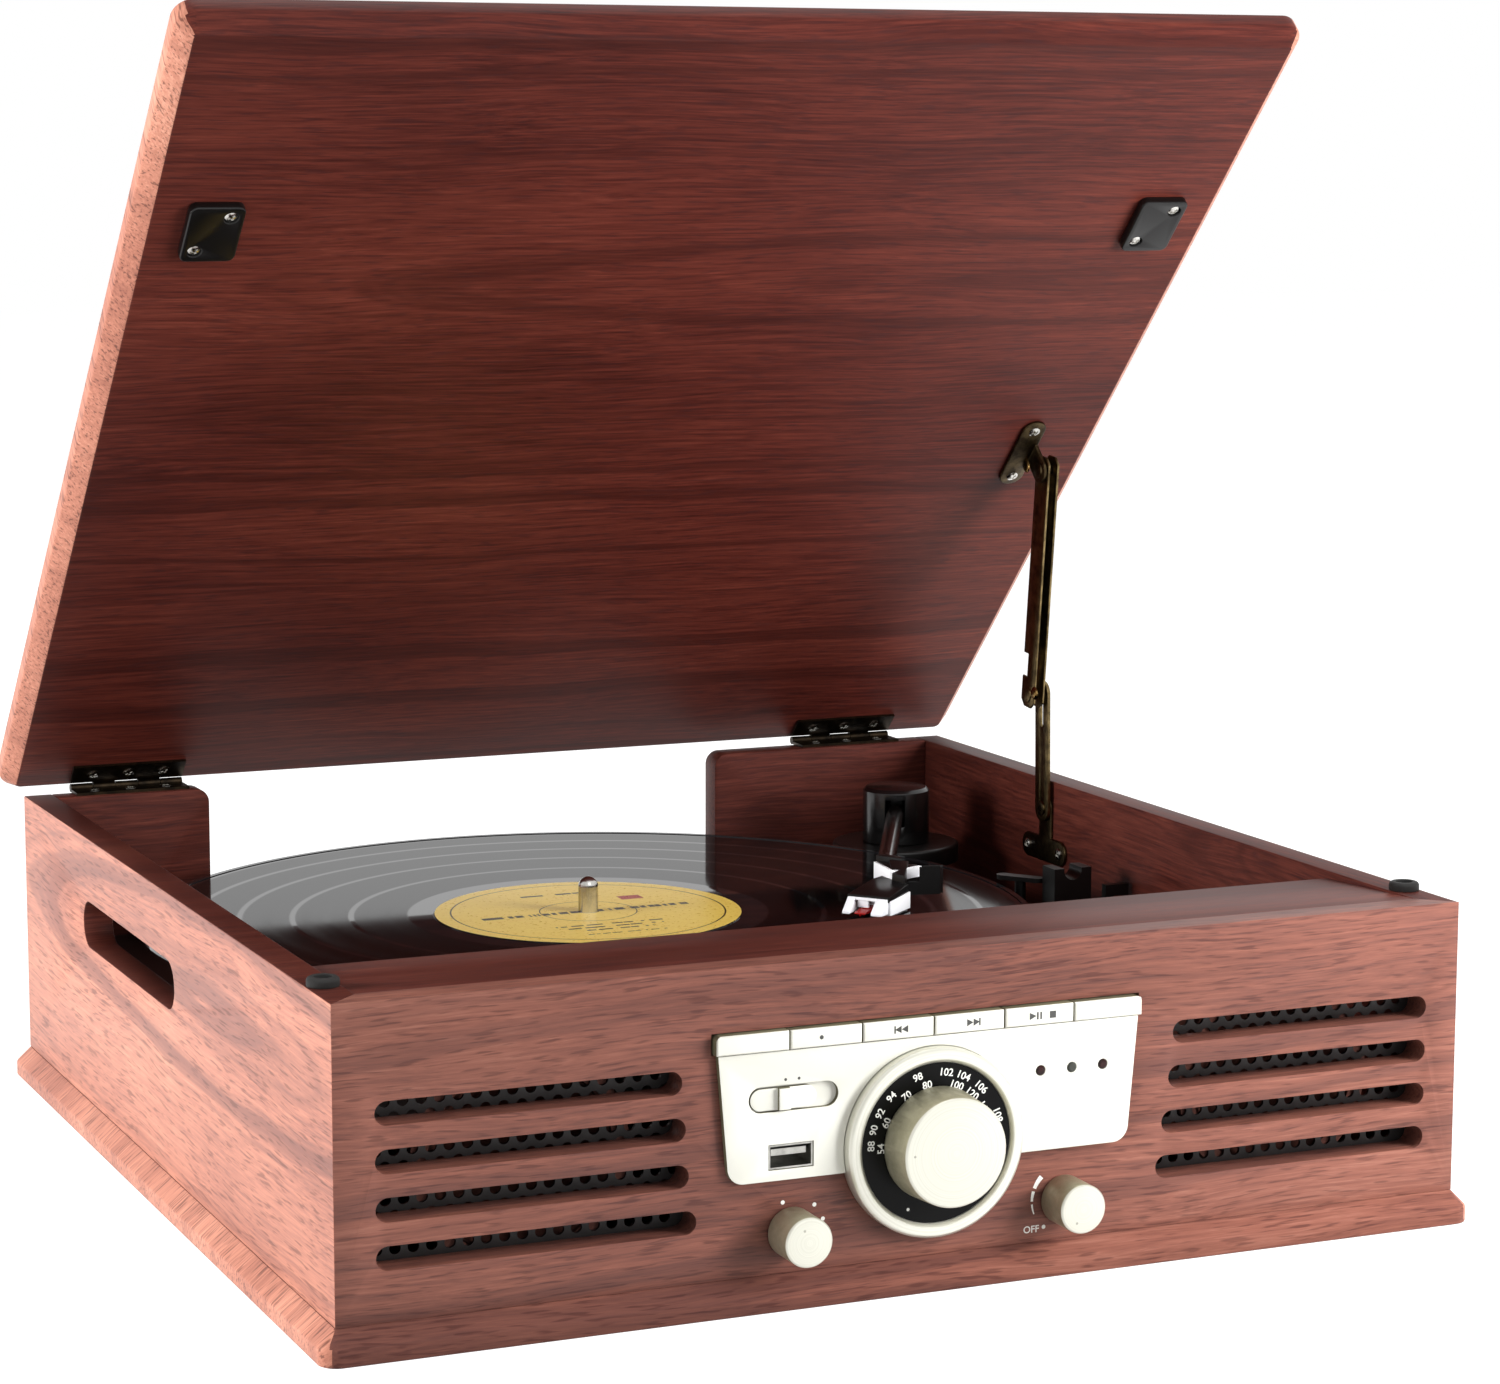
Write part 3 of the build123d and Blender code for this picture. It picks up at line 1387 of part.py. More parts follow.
with BuildPart() as rear_sockets:
    # bodies behind the plate
    with BuildSketch(back_plane):
        with Locations(*jack_places, aux_place):
            Rectangle(jack_body, jack_body)
        with Locations(inlet_place):
            Rectangle(inlet_body_width, inlet_body_height)
    extrude(amount=-jack_body_depth)
    # collars fill the plate's holes, and the barrels and the aux ring stand out from them
    with BuildSketch(back_plane):
        with Locations(*jack_places, aux_place):
            Circle(jack_collar_radius)
    extrude(amount=socket_plate_thickness)
    with BuildSketch(plate_plane):
        with Locations(*jack_places):
            Circle(jack_radius)
    extrude(amount=jack_length)
    with BuildSketch(plate_plane):
        with Locations(aux_place):
            Circle(aux_ring_radius)
    extrude(amount=aux_ring_length)
    with BuildSketch(back_plane):
        with Locations(inlet_place):
            Rectangle(inlet_width, inlet_height)
    extrude(amount=socket_plate_thickness)
    with BuildSketch(back_plane.offset(socket_plate_thickness + jack_length)):
        with Locations(*jack_places):
            Circle(jack_bore_radius)
    extrude(amount=-(socket_plate_thickness + jack_length + jack_body_depth / 2), mode=Mode.SUBTRACT)
    with BuildSketch(back_plane.offset(socket_plate_thickness + aux_ring_length)):
        with Locations(aux_place):
            Circle(aux_bore_radius)
    extrude(amount=-aux_bore_depth, mode=Mode.SUBTRACT)
    # figure-of-eight well of the mains inlet
    with BuildSketch(back_plane.offset(socket_plate_thickness)):
        with Locations(inlet_place):
            SlotOverall(inlet_width - 2 * fascia_fit - usb_shell, inlet_height - 2 * usb_shell)
    extrude(amount=-inlet_depth, mode=Mode.SUBTRACT)
finish(rear_sockets, "rear_sockets")

# ================================================================ lid
lid_depth = lid_rear - lid_front
with BuildPart() as lid:
    with BuildSketch(lid_face_plane):
        with Locations((0, (lid_rear + lid_front) / 2)):
            RectangleRounded(case_width + 2 * lid_overhang_side, lid_depth, lid_corner)
    extrude(amount=lid_thickness)
    chamfer(lid.edges().group_by(Axis(lid_plane.origin, lid_plane.z_dir))[0], lid_bevel)
finish(lid, "lid")

pad_y = lid_front + pad_from_front
pad_screws = [
    (side * pad_x + end * pad_screw_x, pad_y - end * pad_screw_y) for side in (-1, 1) for end in (-1, 1)
]
with BuildPart() as lid_pads:
    with BuildSketch(lid_face_plane):
        with Locations((-pad_x, pad_y), (pad_x, pad_y)):
            RectangleRounded(pad_width, pad_length, pad_corner)
    extrude(amount=-pad_thickness)
    chamfer(lid_pads.edges().group_by(Axis(lid_plane.origin, lid_plane.z_dir))[0], moving_gap)
    with BuildSketch(lid_face_plane.offset(-pad_thickness)):
        with Locations(*pad_screws):
            Circle(screw_radius + head_clearance)
    extrude(amount=screw_head + head_clearance, mode=Mode.SUBTRACT)
finish(lid_pads, "lid_pads")

# ================================================================ hinges
leaf_front = -leaf_depth - knuckle_radius - moving_gap  # from the hinge axis
knuckle_step = hinge_width / knuckle_count
hinge_places = (hinge_left_x, hinge_right_x)
knuckle_clear = knuckle_radius + moving_gap


def knuckles(hinge_x, first):
    """Start and length of every second knuckle of a hinge."""
    for index in range(first, knuckle_count, 2):
        yield hinge_x - hinge_width / 2 + index * knuckle_step + knuckle_gap / 2, knuckle_step - knuckle_gap


# case leaves carry the outer knuckles and the pins
leaf_bottom = -hinge_rise
with BuildPart() as hinge_case_leaves:
    for hinge_x in hinge_places:
        with BuildSketch(Plane((hinge_x, hinge_y, case_top), x_dir=(1, 0, 0), z_dir=(0, 0, 1))):
            with Locations((0, (leaf_front - knuckle_clear) / 2)):
                Rectangle(hinge_width, -knuckle_clear - leaf_front)
        extrude(amount=leaf_thickness)
        for start, length in knuckles(hinge_x, 0):
            with BuildSketch(Plane.YZ.offset(start)):
                with Locations((hinge_y, hinge_z)):
                    Circle(knuckle_radius)
                with Locations((hinge_y - knuckle_clear, hinge_z + leaf_bottom + leaf_thickness / 2)):
                    Rectangle(2 * knuckle_clear, leaf_thickness)
            extrude(amount=length)
        with BuildSketch(Plane.YZ.offset(hinge_x)):
            with Locations((hinge_y, hinge_z)):
                Circle(hinge_pin_radius)
        extrude(amount=hinge_width / 2 - knuckle_gap, both=True)
finish(hinge_case_leaves, "hinge_case_leaves")

with BuildPart() as hinge_lid_leaves:
    for hinge_x in hinge_places:
        with BuildSketch(lid_face_plane):
            with Locations((hinge_x, (leaf_front - knuckle_clear) / 2)):
                Rectangle(hinge_width, -knuckle_clear - leaf_front)
        extrude(amount=-leaf_thickness)
        for start, length in knuckles(hinge_x, 1):
            with BuildSketch(lid_side_plane.offset(start)):
                Circle(knuckle_radius)
                with Locations((-knuckle_clear, lid_inner - leaf_thickness / 2)):
                    Rectangle(2 * knuckle_clear, leaf_thickness)
                Circle(hinge_pin_radius + running_clearance, mode=Mode.SUBTRACT)
            extrude(amount=length)
finish(hinge_lid_leaves, "hinge_lid_leaves")

# ================================================================ lid stay
def lid_point(reach, rise):
    """Point (y, z) in the lid's own frame, turned to where the open lid holds it."""
    return (
        hinge_y + reach * math.cos(open_rad) + rise * math.sin(open_rad),
        hinge_z - reach * math.sin(open_rad) + rise * math.cos(open_rad),
    )


pivot_case = (stay_case_y, base_z + stay_case_rise)
stay_lid_y = lid_rear_inner - stay_lid_reach
pivot_lid = lid_point(stay_lid_y, -stay_lid_drop)
span = math.dist(pivot_case, pivot_lid)
along = ((pivot_lid[0] - pivot_case[0]) / span, (pivot_lid[1] - pivot_case[1]) / span)
reach_up = math.sqrt(stay_lower_length**2 - stay_elbow_back**2)
elbow = (
    pivot_case[0] + along[0] * reach_up + along[1] * stay_elbow_back,
    pivot_case[1] + along[1] * reach_up - along[0] * stay_elbow_back,
)
stay_upper_length = math.dist(elbow, pivot_lid)
strip_x = inner_x - stay_sheet - moving_gap - stay_sheet
rivet_x = strip_x - 2 * running_clearance - stay_head_thickness
channel_x = rivet_x - moving_gap - stay_channel_width
lower_dir = (0, elbow[0] - pivot_case[0], elbow[1] - pivot_case[1])
upper_dir = (0, pivot_lid[0] - elbow[0], pivot_lid[1] - elbow[1])
strip_plane = Plane((strip_x, *pivot_case), x_dir=lower_dir, z_dir=(1, 0, 0))
channel_plane = Plane((channel_x, *elbow), x_dir=upper_dir, z_dir=(1, 0, 0))  # local y faces forwards
half_depth = stay_channel_depth / 2

with BuildPart() as stay_case_bracket:
    with BuildSketch(Plane.YZ.offset(inner_x - stay_sheet)):
        with Locations((stay_case_plate_y, base_z + stay_case_plate_rise)):
            SlotOverall(stay_plate_screws + stay_plate_width, stay_plate_width)
        with Locations(pivot_case):
            Circle(stay_plate_width / 2)
        with Locations((pivot_case[0], (pivot_case[1] + base_z + stay_case_plate_rise) / 2)):
            Rectangle(stay_plate_width, stay_case_rise - stay_case_plate_rise)
    extrude(amount=stay_sheet)
    # rivet through the lower link
    with BuildSketch(Plane.YZ.offset(inner_x - stay_sheet)):
        with Locations(pivot_case):
            Circle(stay_pin_radius)
    extrude(amount=-(inner_x - stay_sheet - rivet_x))
    with BuildSketch(Plane.YZ.offset(rivet_x)):
        with Locations(pivot_case):
            Circle(stay_head_radius)
    extrude(amount=stay_head_thickness)
finish(stay_case_bracket, "stay_case_bracket")

with BuildPart() as stay_lower_link:
    with BuildSketch(strip_plane):
        with Locations(((stay_strip_end - stay_strip_width / 2) / 2, 0)):
            Rectangle(stay_strip_end - stay_strip_width / 2, stay_strip_width)
        with Locations((0, 0), (stay_strip_end - stay_strip_width / 2, 0)):
            Circle(stay_strip_width / 2)
        with Locations((0, 0)):
            Circle(stay_pin_radius + running_clearance, mode=Mode.SUBTRACT)
        with Locations(((stay_slot_start + stay_slot_end) / 2, 0)):
            SlotOverall(stay_slot_end - stay_slot_start, stay_slot_width, mode=Mode.SUBTRACT)
    extrude(amount=stay_sheet)
finish(stay_lower_link, "stay_lower_link")

channel_end = stay_upper_length + stay_channel_above
with BuildPart() as stay_upper_link:
    # two webs, with the end corners cut and a notch in the rear edge
    with BuildSketch(channel_plane):
        with BuildLine():
            Polyline(
                (-stay_channel_below + half_depth / 2, -half_depth),
                (stay_notch_low, -half_depth),
                (stay_notch_low, -half_depth + stay_notch_depth),
                (stay_notch_high, -half_depth + stay_notch_depth),
                (stay_notch_high, -half_depth),
                (channel_end - half_depth / 2, -half_depth),
                (channel_end, -half_depth / 2),
                (channel_end, half_depth / 2),
                (channel_end - half_depth / 2, half_depth),
                (-stay_channel_below + half_depth / 2, half_depth),
                (-stay_channel_below, half_depth / 2),
                (-stay_channel_below, -half_depth / 2),
                close=True,
            )
        make_face()
    extrude(amount=stay_channel_width)
    # hollow between the webs, open to the front
    with BuildSketch(channel_plane.offset(stay_channel_sheet)):
        with BuildLine():
            Polyline(
                (-stay_channel_below - stay_cut_margin, -half_depth - stay_cut_margin),
                (stay_notch_high, -half_depth - stay_cut_margin),
                (stay_notch_high, -half_depth + stay_channel_sheet),
                (channel_end + stay_cut_margin, -half_depth + stay_channel_sheet),
                (channel_end + stay_cut_margin, half_depth + stay_cut_margin),
                (-stay_channel_below - stay_cut_margin, half_depth + stay_cut_margin),
                close=True,
            )
        make_face()
    extrude(amount=stay_channel_width - 2 * stay_channel_sheet, mode=Mode.SUBTRACT)
    with BuildSketch(channel_plane):
        with Locations((stay_upper_length, 0)):
            Circle(stay_pin_radius + running_clearance)
    extrude(amount=stay_channel_width, mode=Mode.SUBTRACT)
    # elbow rivet's head, with a spacer between the webs
    with BuildSketch(channel_plane.offset(-stay_head_thickness)):
        with Locations((-stay_elbow_rivet_offset, 0)):
            Circle(stay_head_radius)
    extrude(amount=stay_head_thickness)
    with BuildSketch(channel_plane):
        with Locations((-stay_elbow_rivet_offset, 0)):
            Circle(stay_pin_radius)
    extrude(amount=stay_channel_width)
finish(stay_upper_link, "stay_upper_link")

ear_x = channel_x - moving_gap - stay_sheet
plate_x = ear_x + stay_sheet - stay_plate_width / 2
with BuildPart() as stay_lid_bracket:
    with BuildSketch(lid_face_plane):
        with Locations((plate_x, stay_lid_y)):
            SlotOverall(stay_plate_screws + stay_plate_width, stay_plate_width, rotation=90)
    extrude(amount=-stay_sheet)
    # ear beside the channel
    with BuildSketch(lid_side_plane.offset(ear_x)):
        with Locations((stay_lid_y, (lid_inner - stay_lid_drop) / 2)):
            Rectangle(stay_plate_width, lid_inner + stay_lid_drop)
        with Locations((stay_lid_y, -stay_lid_drop)):
            Circle(stay_plate_width / 2)
    extrude(amount=stay_sheet)
    # rivet through the channel
    with BuildSketch(lid_side_plane.offset(ear_x)):
        with Locations((stay_lid_y, -stay_lid_drop)):
            Circle(stay_pin_radius)
    extrude(amount=stay_sheet + moving_gap + stay_channel_width)
    with BuildSketch(lid_side_plane.offset(ear_x)):
        with Locations((stay_lid_y, -stay_lid_drop)):
            Circle(stay_head_radius)
    extrude(amount=-stay_head_thickness)
finish(stay_lid_bracket, "stay_lid_bracket")

# ================================================================ screws
leaf_screw_y = (leaf_front - knuckle_clear) / 2
leaf_screws = [
    (hinge_x + end * hinge_screw_pitch, leaf_screw_y) for hinge_x in hinge_places for end in (-1, 0, 1)
]
deck_screw_inset = rail_width / 2
with BuildPart() as case_screws:
    with BuildSketch(Plane((0, hinge_y, case_top + leaf_thickness), x_dir=(1, 0, 0), z_dir=(0, 0, 1))):
        with Locations(*leaf_screws):
            Circle(screw_radius)
    extrude(amount=hinge_screw_head)
    with BuildSketch(Plane.YZ.offset(inner_x - stay_sheet)):
        with Locations(
            (stay_case_plate_y - stay_plate_screws / 2, base_z + stay_case_plate_rise),
            (stay_case_plate_y + stay_plate_screws / 2, base_z + stay_case_plate_rise),
        ):
            Circle(screw_radius)
    extrude(amount=-screw_head)
    with BuildSketch(plate_plane):
        with Locations(plate_centre):
            with GridLocations(
                socket_plate_width - 2 * socket_screw_inset,
                socket_plate_height - 2 * socket_screw_inset,
                2,
                2,
            ):
                Circle(screw_radius)
    extrude(amount=screw_head)
    with BuildSketch(Plane.XY.offset(deck_z)):
        for side in (-1, 1):
            with Locations(
                (side * (inner_x - deck_screw_inset), rail_front_y + rail_width),
                (side * (inner_x - deck_screw_inset), inner_back_y - rail_width),
            ):
                Circle(screw_radius)
    extrude(amount=screw_head)
finish(case_screws, "case_screws")

with BuildPart() as lid_screws:
    with BuildSketch(lid_face_plane.offset(-leaf_thickness)):
        with Locations(*leaf_screws):
            Circle(screw_radius)
    extrude(amount=-hinge_screw_head)
    # the pads' screws lie sunk in their holes
    with BuildSketch(lid_face_plane.offset(screw_head + head_clearance - pad_thickness)):
        with Locations(*pad_screws):
            Circle(screw_radius)
    extrude(amount=-screw_head)
    with BuildSketch(lid_face_plane.offset(-stay_sheet)):
        with Locations((plate_x, stay_lid_y)):
            with GridLocations(stay_plate_screws, stay_plate_screws, 1, 2):
                Circle(screw_radius)
    extrude(amount=-screw_head)
finish(lid_screws, "lid_screws")
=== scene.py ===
"""Looks of a wooden stereo music centre with a record deck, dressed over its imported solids.

Everything is in metres: x to the right, y to the back, z up, origin under the middle of the plinth.
"""
import math

import bmesh
import bpy
from mathutils import Matrix, Vector


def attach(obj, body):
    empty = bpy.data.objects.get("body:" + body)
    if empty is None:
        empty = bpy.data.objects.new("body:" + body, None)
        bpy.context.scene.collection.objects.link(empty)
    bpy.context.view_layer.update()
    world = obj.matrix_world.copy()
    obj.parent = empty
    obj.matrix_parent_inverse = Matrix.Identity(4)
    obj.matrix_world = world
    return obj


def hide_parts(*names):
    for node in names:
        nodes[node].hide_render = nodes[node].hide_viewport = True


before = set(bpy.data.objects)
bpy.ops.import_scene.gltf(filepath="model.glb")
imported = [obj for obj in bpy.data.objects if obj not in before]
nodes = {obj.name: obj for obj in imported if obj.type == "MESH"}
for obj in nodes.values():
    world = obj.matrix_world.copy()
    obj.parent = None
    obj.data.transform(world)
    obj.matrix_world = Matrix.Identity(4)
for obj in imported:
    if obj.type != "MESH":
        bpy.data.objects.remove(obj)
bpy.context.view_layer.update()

MM = 0.001

# ---------------------------------------------------------------- places on the solids
FRONT = -0.181  # the wood's front face
FASCIA = FRONT - 0.002
BUTTON_FACE = FASCIA - 0.001
DIAL_FACE = FRONT - 0.0047
DIAL_Z = 0.0448
KNOB_X, KNOB_Z = 0.0442, 0.0221
MIDDLE_LAMP = 0.04565
SWITCH_MARK_Z = 67.55  # mm
BUTTON_MARK_Z = 79.1  # mm
SPINDLE = Vector((-0.0225, 0.0353, 0.0))
GROOVES_INNER, GROOVES_OUTER = 0.050, 0.151
LABEL_EDGE = 0.0519
LID_ANGLE = math.radians(45.5)
SAME_POINT = 2e-6  # corners of a solid's mesh that are one point lie closer than this
SHARP = 28.0  # degrees between faces, past which an edge is eased or drawn sharp


# ---------------------------------------------------------------- materials: how they are put together
def linear(code):
    """Linear RGBA of an sRGB hex code."""
    channels = [int(code[k:k + 2], 16) / 255 for k in (1, 3, 5)]
    return tuple(c / 12.92 if c <= 0.04045 else ((c + 0.055) / 1.055) ** 2.4 for c in channels) + (1.0,)


def new_material(name):
    """Empty node material."""
    material = bpy.data.materials.new(name)
    material.use_nodes = True
    material.node_tree.nodes.clear()
    return material


def add(tree, kind, sockets=None, **settings):
    """Add a node with its settings, and set or link its input sockets."""
    node = tree.nodes.new(kind)
    for key, value in settings.items():
        setattr(node, key, value)
    for key, value in (sockets or {}).items():
        if isinstance(value, bpy.types.NodeSocket):
            tree.links.new(value, node.inputs[key])
        else:
            node.inputs[key].default_value = value
    return node


def set_ramp(node, *stops):
    """Give a colour ramp its stops, as (place, hex code) pairs."""
    ramp = node.color_ramp
    while len(ramp.elements) > len(stops):
        ramp.elements.remove(ramp.elements[-1])
    while len(ramp.elements) < len(stops):
        ramp.elements.new(1.0)
    for element, (place, code) in zip(ramp.elements, stops):
        element.position = place
        element.color = linear(code)
    return node.outputs["Color"]


def veneer(name, turn, heart, tones, slope=0.07, ring_mm=9.0, roughness=0.46, ring_depth=0.5, tick=0.45,
           shine=0.22, mirrored=False):
    """Walnut-printed foil on board, satin: fine short pore dashes, darker growth lines that arch near the
    heart, and slow changes of stain. turn brings the grain to local x and the face to local xy, and heart
    is the arch's middle there; mirrored repeats the left half on the right."""
    material = new_material(name)
    tree = material.node_tree
    place = add(tree, "ShaderNodeTexCoord").outputs["Object"]
    if mirrored:
        both = add(tree, "ShaderNodeSeparateXYZ", {0: place}).outputs
        folded = add(tree, "ShaderNodeMath", {0: both[0]}, operation="ABSOLUTE").outputs[0]
        place = add(tree, "ShaderNodeCombineXYZ", {0: folded, 1: both[1], 2: both[2]}).outputs[0]
    board = add(tree, "ShaderNodeMapping", {
        "Vector": place, "Rotation": turn, "Location": [-c for c in heart],
    }).outputs[0]
    # slow wander of the grain, about 100 mm long and 30 mm wide
    long_way = add(
        tree, "ShaderNodeVectorMath", {0: board, 1: (0.3, 1.0, 1.0)}, operation="MULTIPLY",
    ).outputs[0]
    wander = add(tree, "ShaderNodeTexNoise", {"Vector": long_way, "Scale": 30.0, "Detail": 1.5})
    centred = add(
        tree, "ShaderNodeVectorMath", {0: wander.outputs["Color"], 1: (0.5, 0.5, 0.5)}, operation="SUBTRACT",
    )
    pushed = add(tree, "ShaderNodeVectorMath", {
        0: centred.outputs[0], 1: (0.0, 0.010, 0.010), 2: board,
    }, operation="MULTIPLY_ADD").outputs[0]
    axes = add(tree, "ShaderNodeSeparateXYZ", {0: pushed})
    # growth lines cut at a slight slope, a few millimetres wide
    depth = add(
        tree, "ShaderNodeMath", {0: axes.outputs["X"], 1: slope, 2: axes.outputs["Z"]},
        operation="MULTIPLY_ADD",
    )
    across = add(tree, "ShaderNodeCombineXYZ", {"Y": axes.outputs["Y"], "Z": depth.outputs[0]})
    radius = add(tree, "ShaderNodeVectorMath", {0: across.outputs[0]}, operation="LENGTH")
    rings = add(tree, "ShaderNodeTexNoise", {
        "W": radius.outputs["Value"], "Scale": 1.0 / (ring_mm * MM), "Detail": 4.0, "Roughness": 0.55,
    }, noise_dimensions="1D").outputs[0]
    lines = add(tree, "ShaderNodeMapRange", {
        "Value": rings, "From Min": 0.52, "From Max": 0.64, "To Max": ring_depth,
    }, interpolation_type="SMOOTHSTEP").outputs[0]
    # fibres about 0.5 mm wide and 12 mm long
    fibre_way = add(
        tree, "ShaderNodeVectorMath", {0: pushed, 1: (0.03, 1.0, 1.0)}, operation="MULTIPLY",
    ).outputs[0]
    fibre = add(tree, "ShaderNodeTexNoise", {
        "Vector": fibre_way, "Scale": 1.0 / (1.1 * MM), "Detail": 4.0, "Roughness": 0.7,
    }).outputs[0]
    # stain that took unevenly, in patches of about 60 mm
    patches = add(tree, "ShaderNodeTexNoise", {"Vector": long_way, "Scale": 16.0, "Detail": 3.0}).outputs[0]
    tone = add(tree, "ShaderNodeMix", {"Factor": 0.4, "A": fibre, "B": patches}, data_type="FLOAT").outputs[0]
    spread = add(tree, "ShaderNodeMapRange", {"Value": tone, "From Min": 0.33, "From Max": 0.67}).outputs[0]
    shade = set_ramp(add(tree, "ShaderNodeValToRGB", {"Fac": spread}), *zip((0.0, 0.35, 0.68, 1.0), tones))
    lined = add(tree, "ShaderNodeMix", {"Factor": lines, "A": shade, "B": linear(tones[0])}, data_type="RGBA")
    # open pores, drawn as dashes 0.5 mm wide and 8 mm long
    pore_way = add(
        tree, "ShaderNodeVectorMath", {0: pushed, 1: (0.085, 1.0, 1.0)}, operation="MULTIPLY",
    ).outputs[0]
    pore = add(
        tree, "ShaderNodeTexNoise", {"Vector": pore_way, "Scale": 1.0 / (0.9 * MM), "Detail": 1.0},
    ).outputs[0]
    dashes = add(tree, "ShaderNodeMapRange", {"Value": pore, "From Min": 0.56, "From Max": 0.68}).outputs[0]
    dark = add(tree, "ShaderNodeMath", {0: dashes, 1: tick}, operation="MULTIPLY").outputs[0]
    pored = add(tree, "ShaderNodeMix", {
        "Factor": dark, "A": lined.outputs["Result"], "B": linear("#33191a"),
    }, data_type="RGBA")
    polish = add(tree, "ShaderNodeMapRange", {
        "Value": fibre, "To Min": roughness - 0.05, "To Max": roughness + 0.06,
    })
    dents = add(tree, "ShaderNodeBump", {"Height": dashes, "Strength": 0.3, "Distance": 0.00005}, invert=True)
    shader = add(tree, "ShaderNodeBsdfPrincipled", {
        "Base Color": pored.outputs["Result"], "Roughness": polish.outputs[0], "Normal": dents.outputs[0],
        "IOR": 1.45, "Specular IOR Level": shine,
    })
    add(tree, "ShaderNodeOutputMaterial", {"Surface": shader.outputs[0]})
    return material


def plastic(name, light, deep, roughness, grain_mm=0.35, relief=0.25, coat=0.0, shine=0.5):
    """Moulded ABS: nearly even colour, with the fine texture of a spark-worn mould."""
    material = new_material(name)
    tree = material.node_tree
    place = add(tree, "ShaderNodeTexCoord")
    patches = add(
        tree, "ShaderNodeTexNoise", {"Vector": place.outputs["Object"], "Scale": 28.0, "Detail": 3.0},
    )
    grain = add(tree, "ShaderNodeTexNoise", {
        "Vector": place.outputs["Object"], "Scale": 1.0 / (grain_mm * MM), "Detail": 2.0,
    })
    colour = set_ramp(
        add(tree, "ShaderNodeValToRGB", {"Fac": patches.outputs[0]}), (0.35, deep), (0.65, light),
    )
    polish = add(tree, "ShaderNodeMapRange", {
        "Value": patches.outputs[0], "To Min": roughness - 0.05, "To Max": roughness + 0.05,
    })
    texture = add(
        tree, "ShaderNodeBump", {"Height": grain.outputs[0], "Strength": relief, "Distance": 0.00004},
    )
    shader = add(tree, "ShaderNodeBsdfPrincipled", {
        "Base Color": colour, "Roughness": polish.outputs[0], "Normal": texture.outputs[0],
        "IOR": 1.52, "Specular IOR Level": shine, "Coat Weight": coat, "Coat Roughness": 0.12,
    })
    add(tree, "ShaderNodeOutputMaterial", {"Surface": shader.outputs[0]})
    return material


def metal(name, light, deep, roughness, patch_mm=8.0, relief=0.1, metallic=1.0):
    """Plated or painted metal with faint clouding and a fine rolled texture."""
    material = new_material(name)
    tree = material.node_tree
    place = add(tree, "ShaderNodeTexCoord")
    clouds = add(tree, "ShaderNodeTexNoise", {
        "Vector": place.outputs["Object"], "Scale": 1.0 / (patch_mm * MM), "Detail": 5.0, "Roughness": 0.65,
    })
    colour = set_ramp(
        add(tree, "ShaderNodeValToRGB", {"Fac": clouds.outputs[0]}), (0.38, deep), (0.62, light),
    )
    polish = add(tree, "ShaderNodeMapRange", {
        "Value": clouds.outputs[0], "From Min": 0.3, "From Max": 0.7,
        "To Min": roughness + 0.07, "To Max": roughness - 0.05,
    })
    scuffs = add(
        tree, "ShaderNodeTexNoise", {"Vector": place.outputs["Object"], "Scale": 1500.0, "Detail": 2.0},
    )
    texture = add(
        tree, "ShaderNodeBump", {"Height": scuffs.outputs[0], "Strength": relief, "Distance": 0.00003},
    )
    shader = add(tree, "ShaderNodeBsdfPrincipled", {
        "Base Color": colour, "Metallic": metallic, "Roughness": polish.outputs[0],
        "Normal": texture.outputs[0],
    })
    add(tree, "ShaderNodeOutputMaterial", {"Surface": shader.outputs[0]})
    return material


def turned(name, x, z, light, deep, roughness):
    """Champagne-anodised aluminium turned on a lathe: rings about the control's axis catch the light."""
    material = new_material(name)
    tree = material.node_tree
    place = add(tree, "ShaderNodeTexCoord")
    centred = add(tree, "ShaderNodeMapping", {"Vector": place.outputs["Object"], "Location": (-x, 0.0, -z)})
    flat = add(
        tree, "ShaderNodeVectorMath", {0: centred.outputs[0], 1: (1.0, 0.0, 1.0)}, operation="MULTIPLY",
    )
    radius = add(tree, "ShaderNodeVectorMath", {0: flat.outputs[0]}, operation="LENGTH")
    # tool marks, drawn 0.25 mm apart so that they show
    marks = add(tree, "ShaderNodeTexNoise", {
        "W": radius.outputs["Value"], "Scale": 1.0 / (0.5 * MM), "Detail": 2.0,
    }, noise_dimensions="1D")
    colour = set_ramp(add(tree, "ShaderNodeValToRGB", {"Fac": marks.outputs[0]}), (0.3, deep), (0.7, light))
    polish = add(tree, "ShaderNodeMapRange", {
        "Value": marks.outputs[0], "To Min": roughness - 0.05, "To Max": roughness + 0.07,
    })
    ridges = add(tree, "ShaderNodeBump", {"Height": marks.outputs[0], "Strength": 0.05, "Distance": 0.00002})
    shader = add(tree, "ShaderNodeBsdfPrincipled", {
        "Base Color": colour, "Metallic": 0.6, "Roughness": polish.outputs[0], "Normal": ridges.outputs[0],
    })
    add(tree, "ShaderNodeOutputMaterial", {"Surface": shader.outputs[0]})
    return material


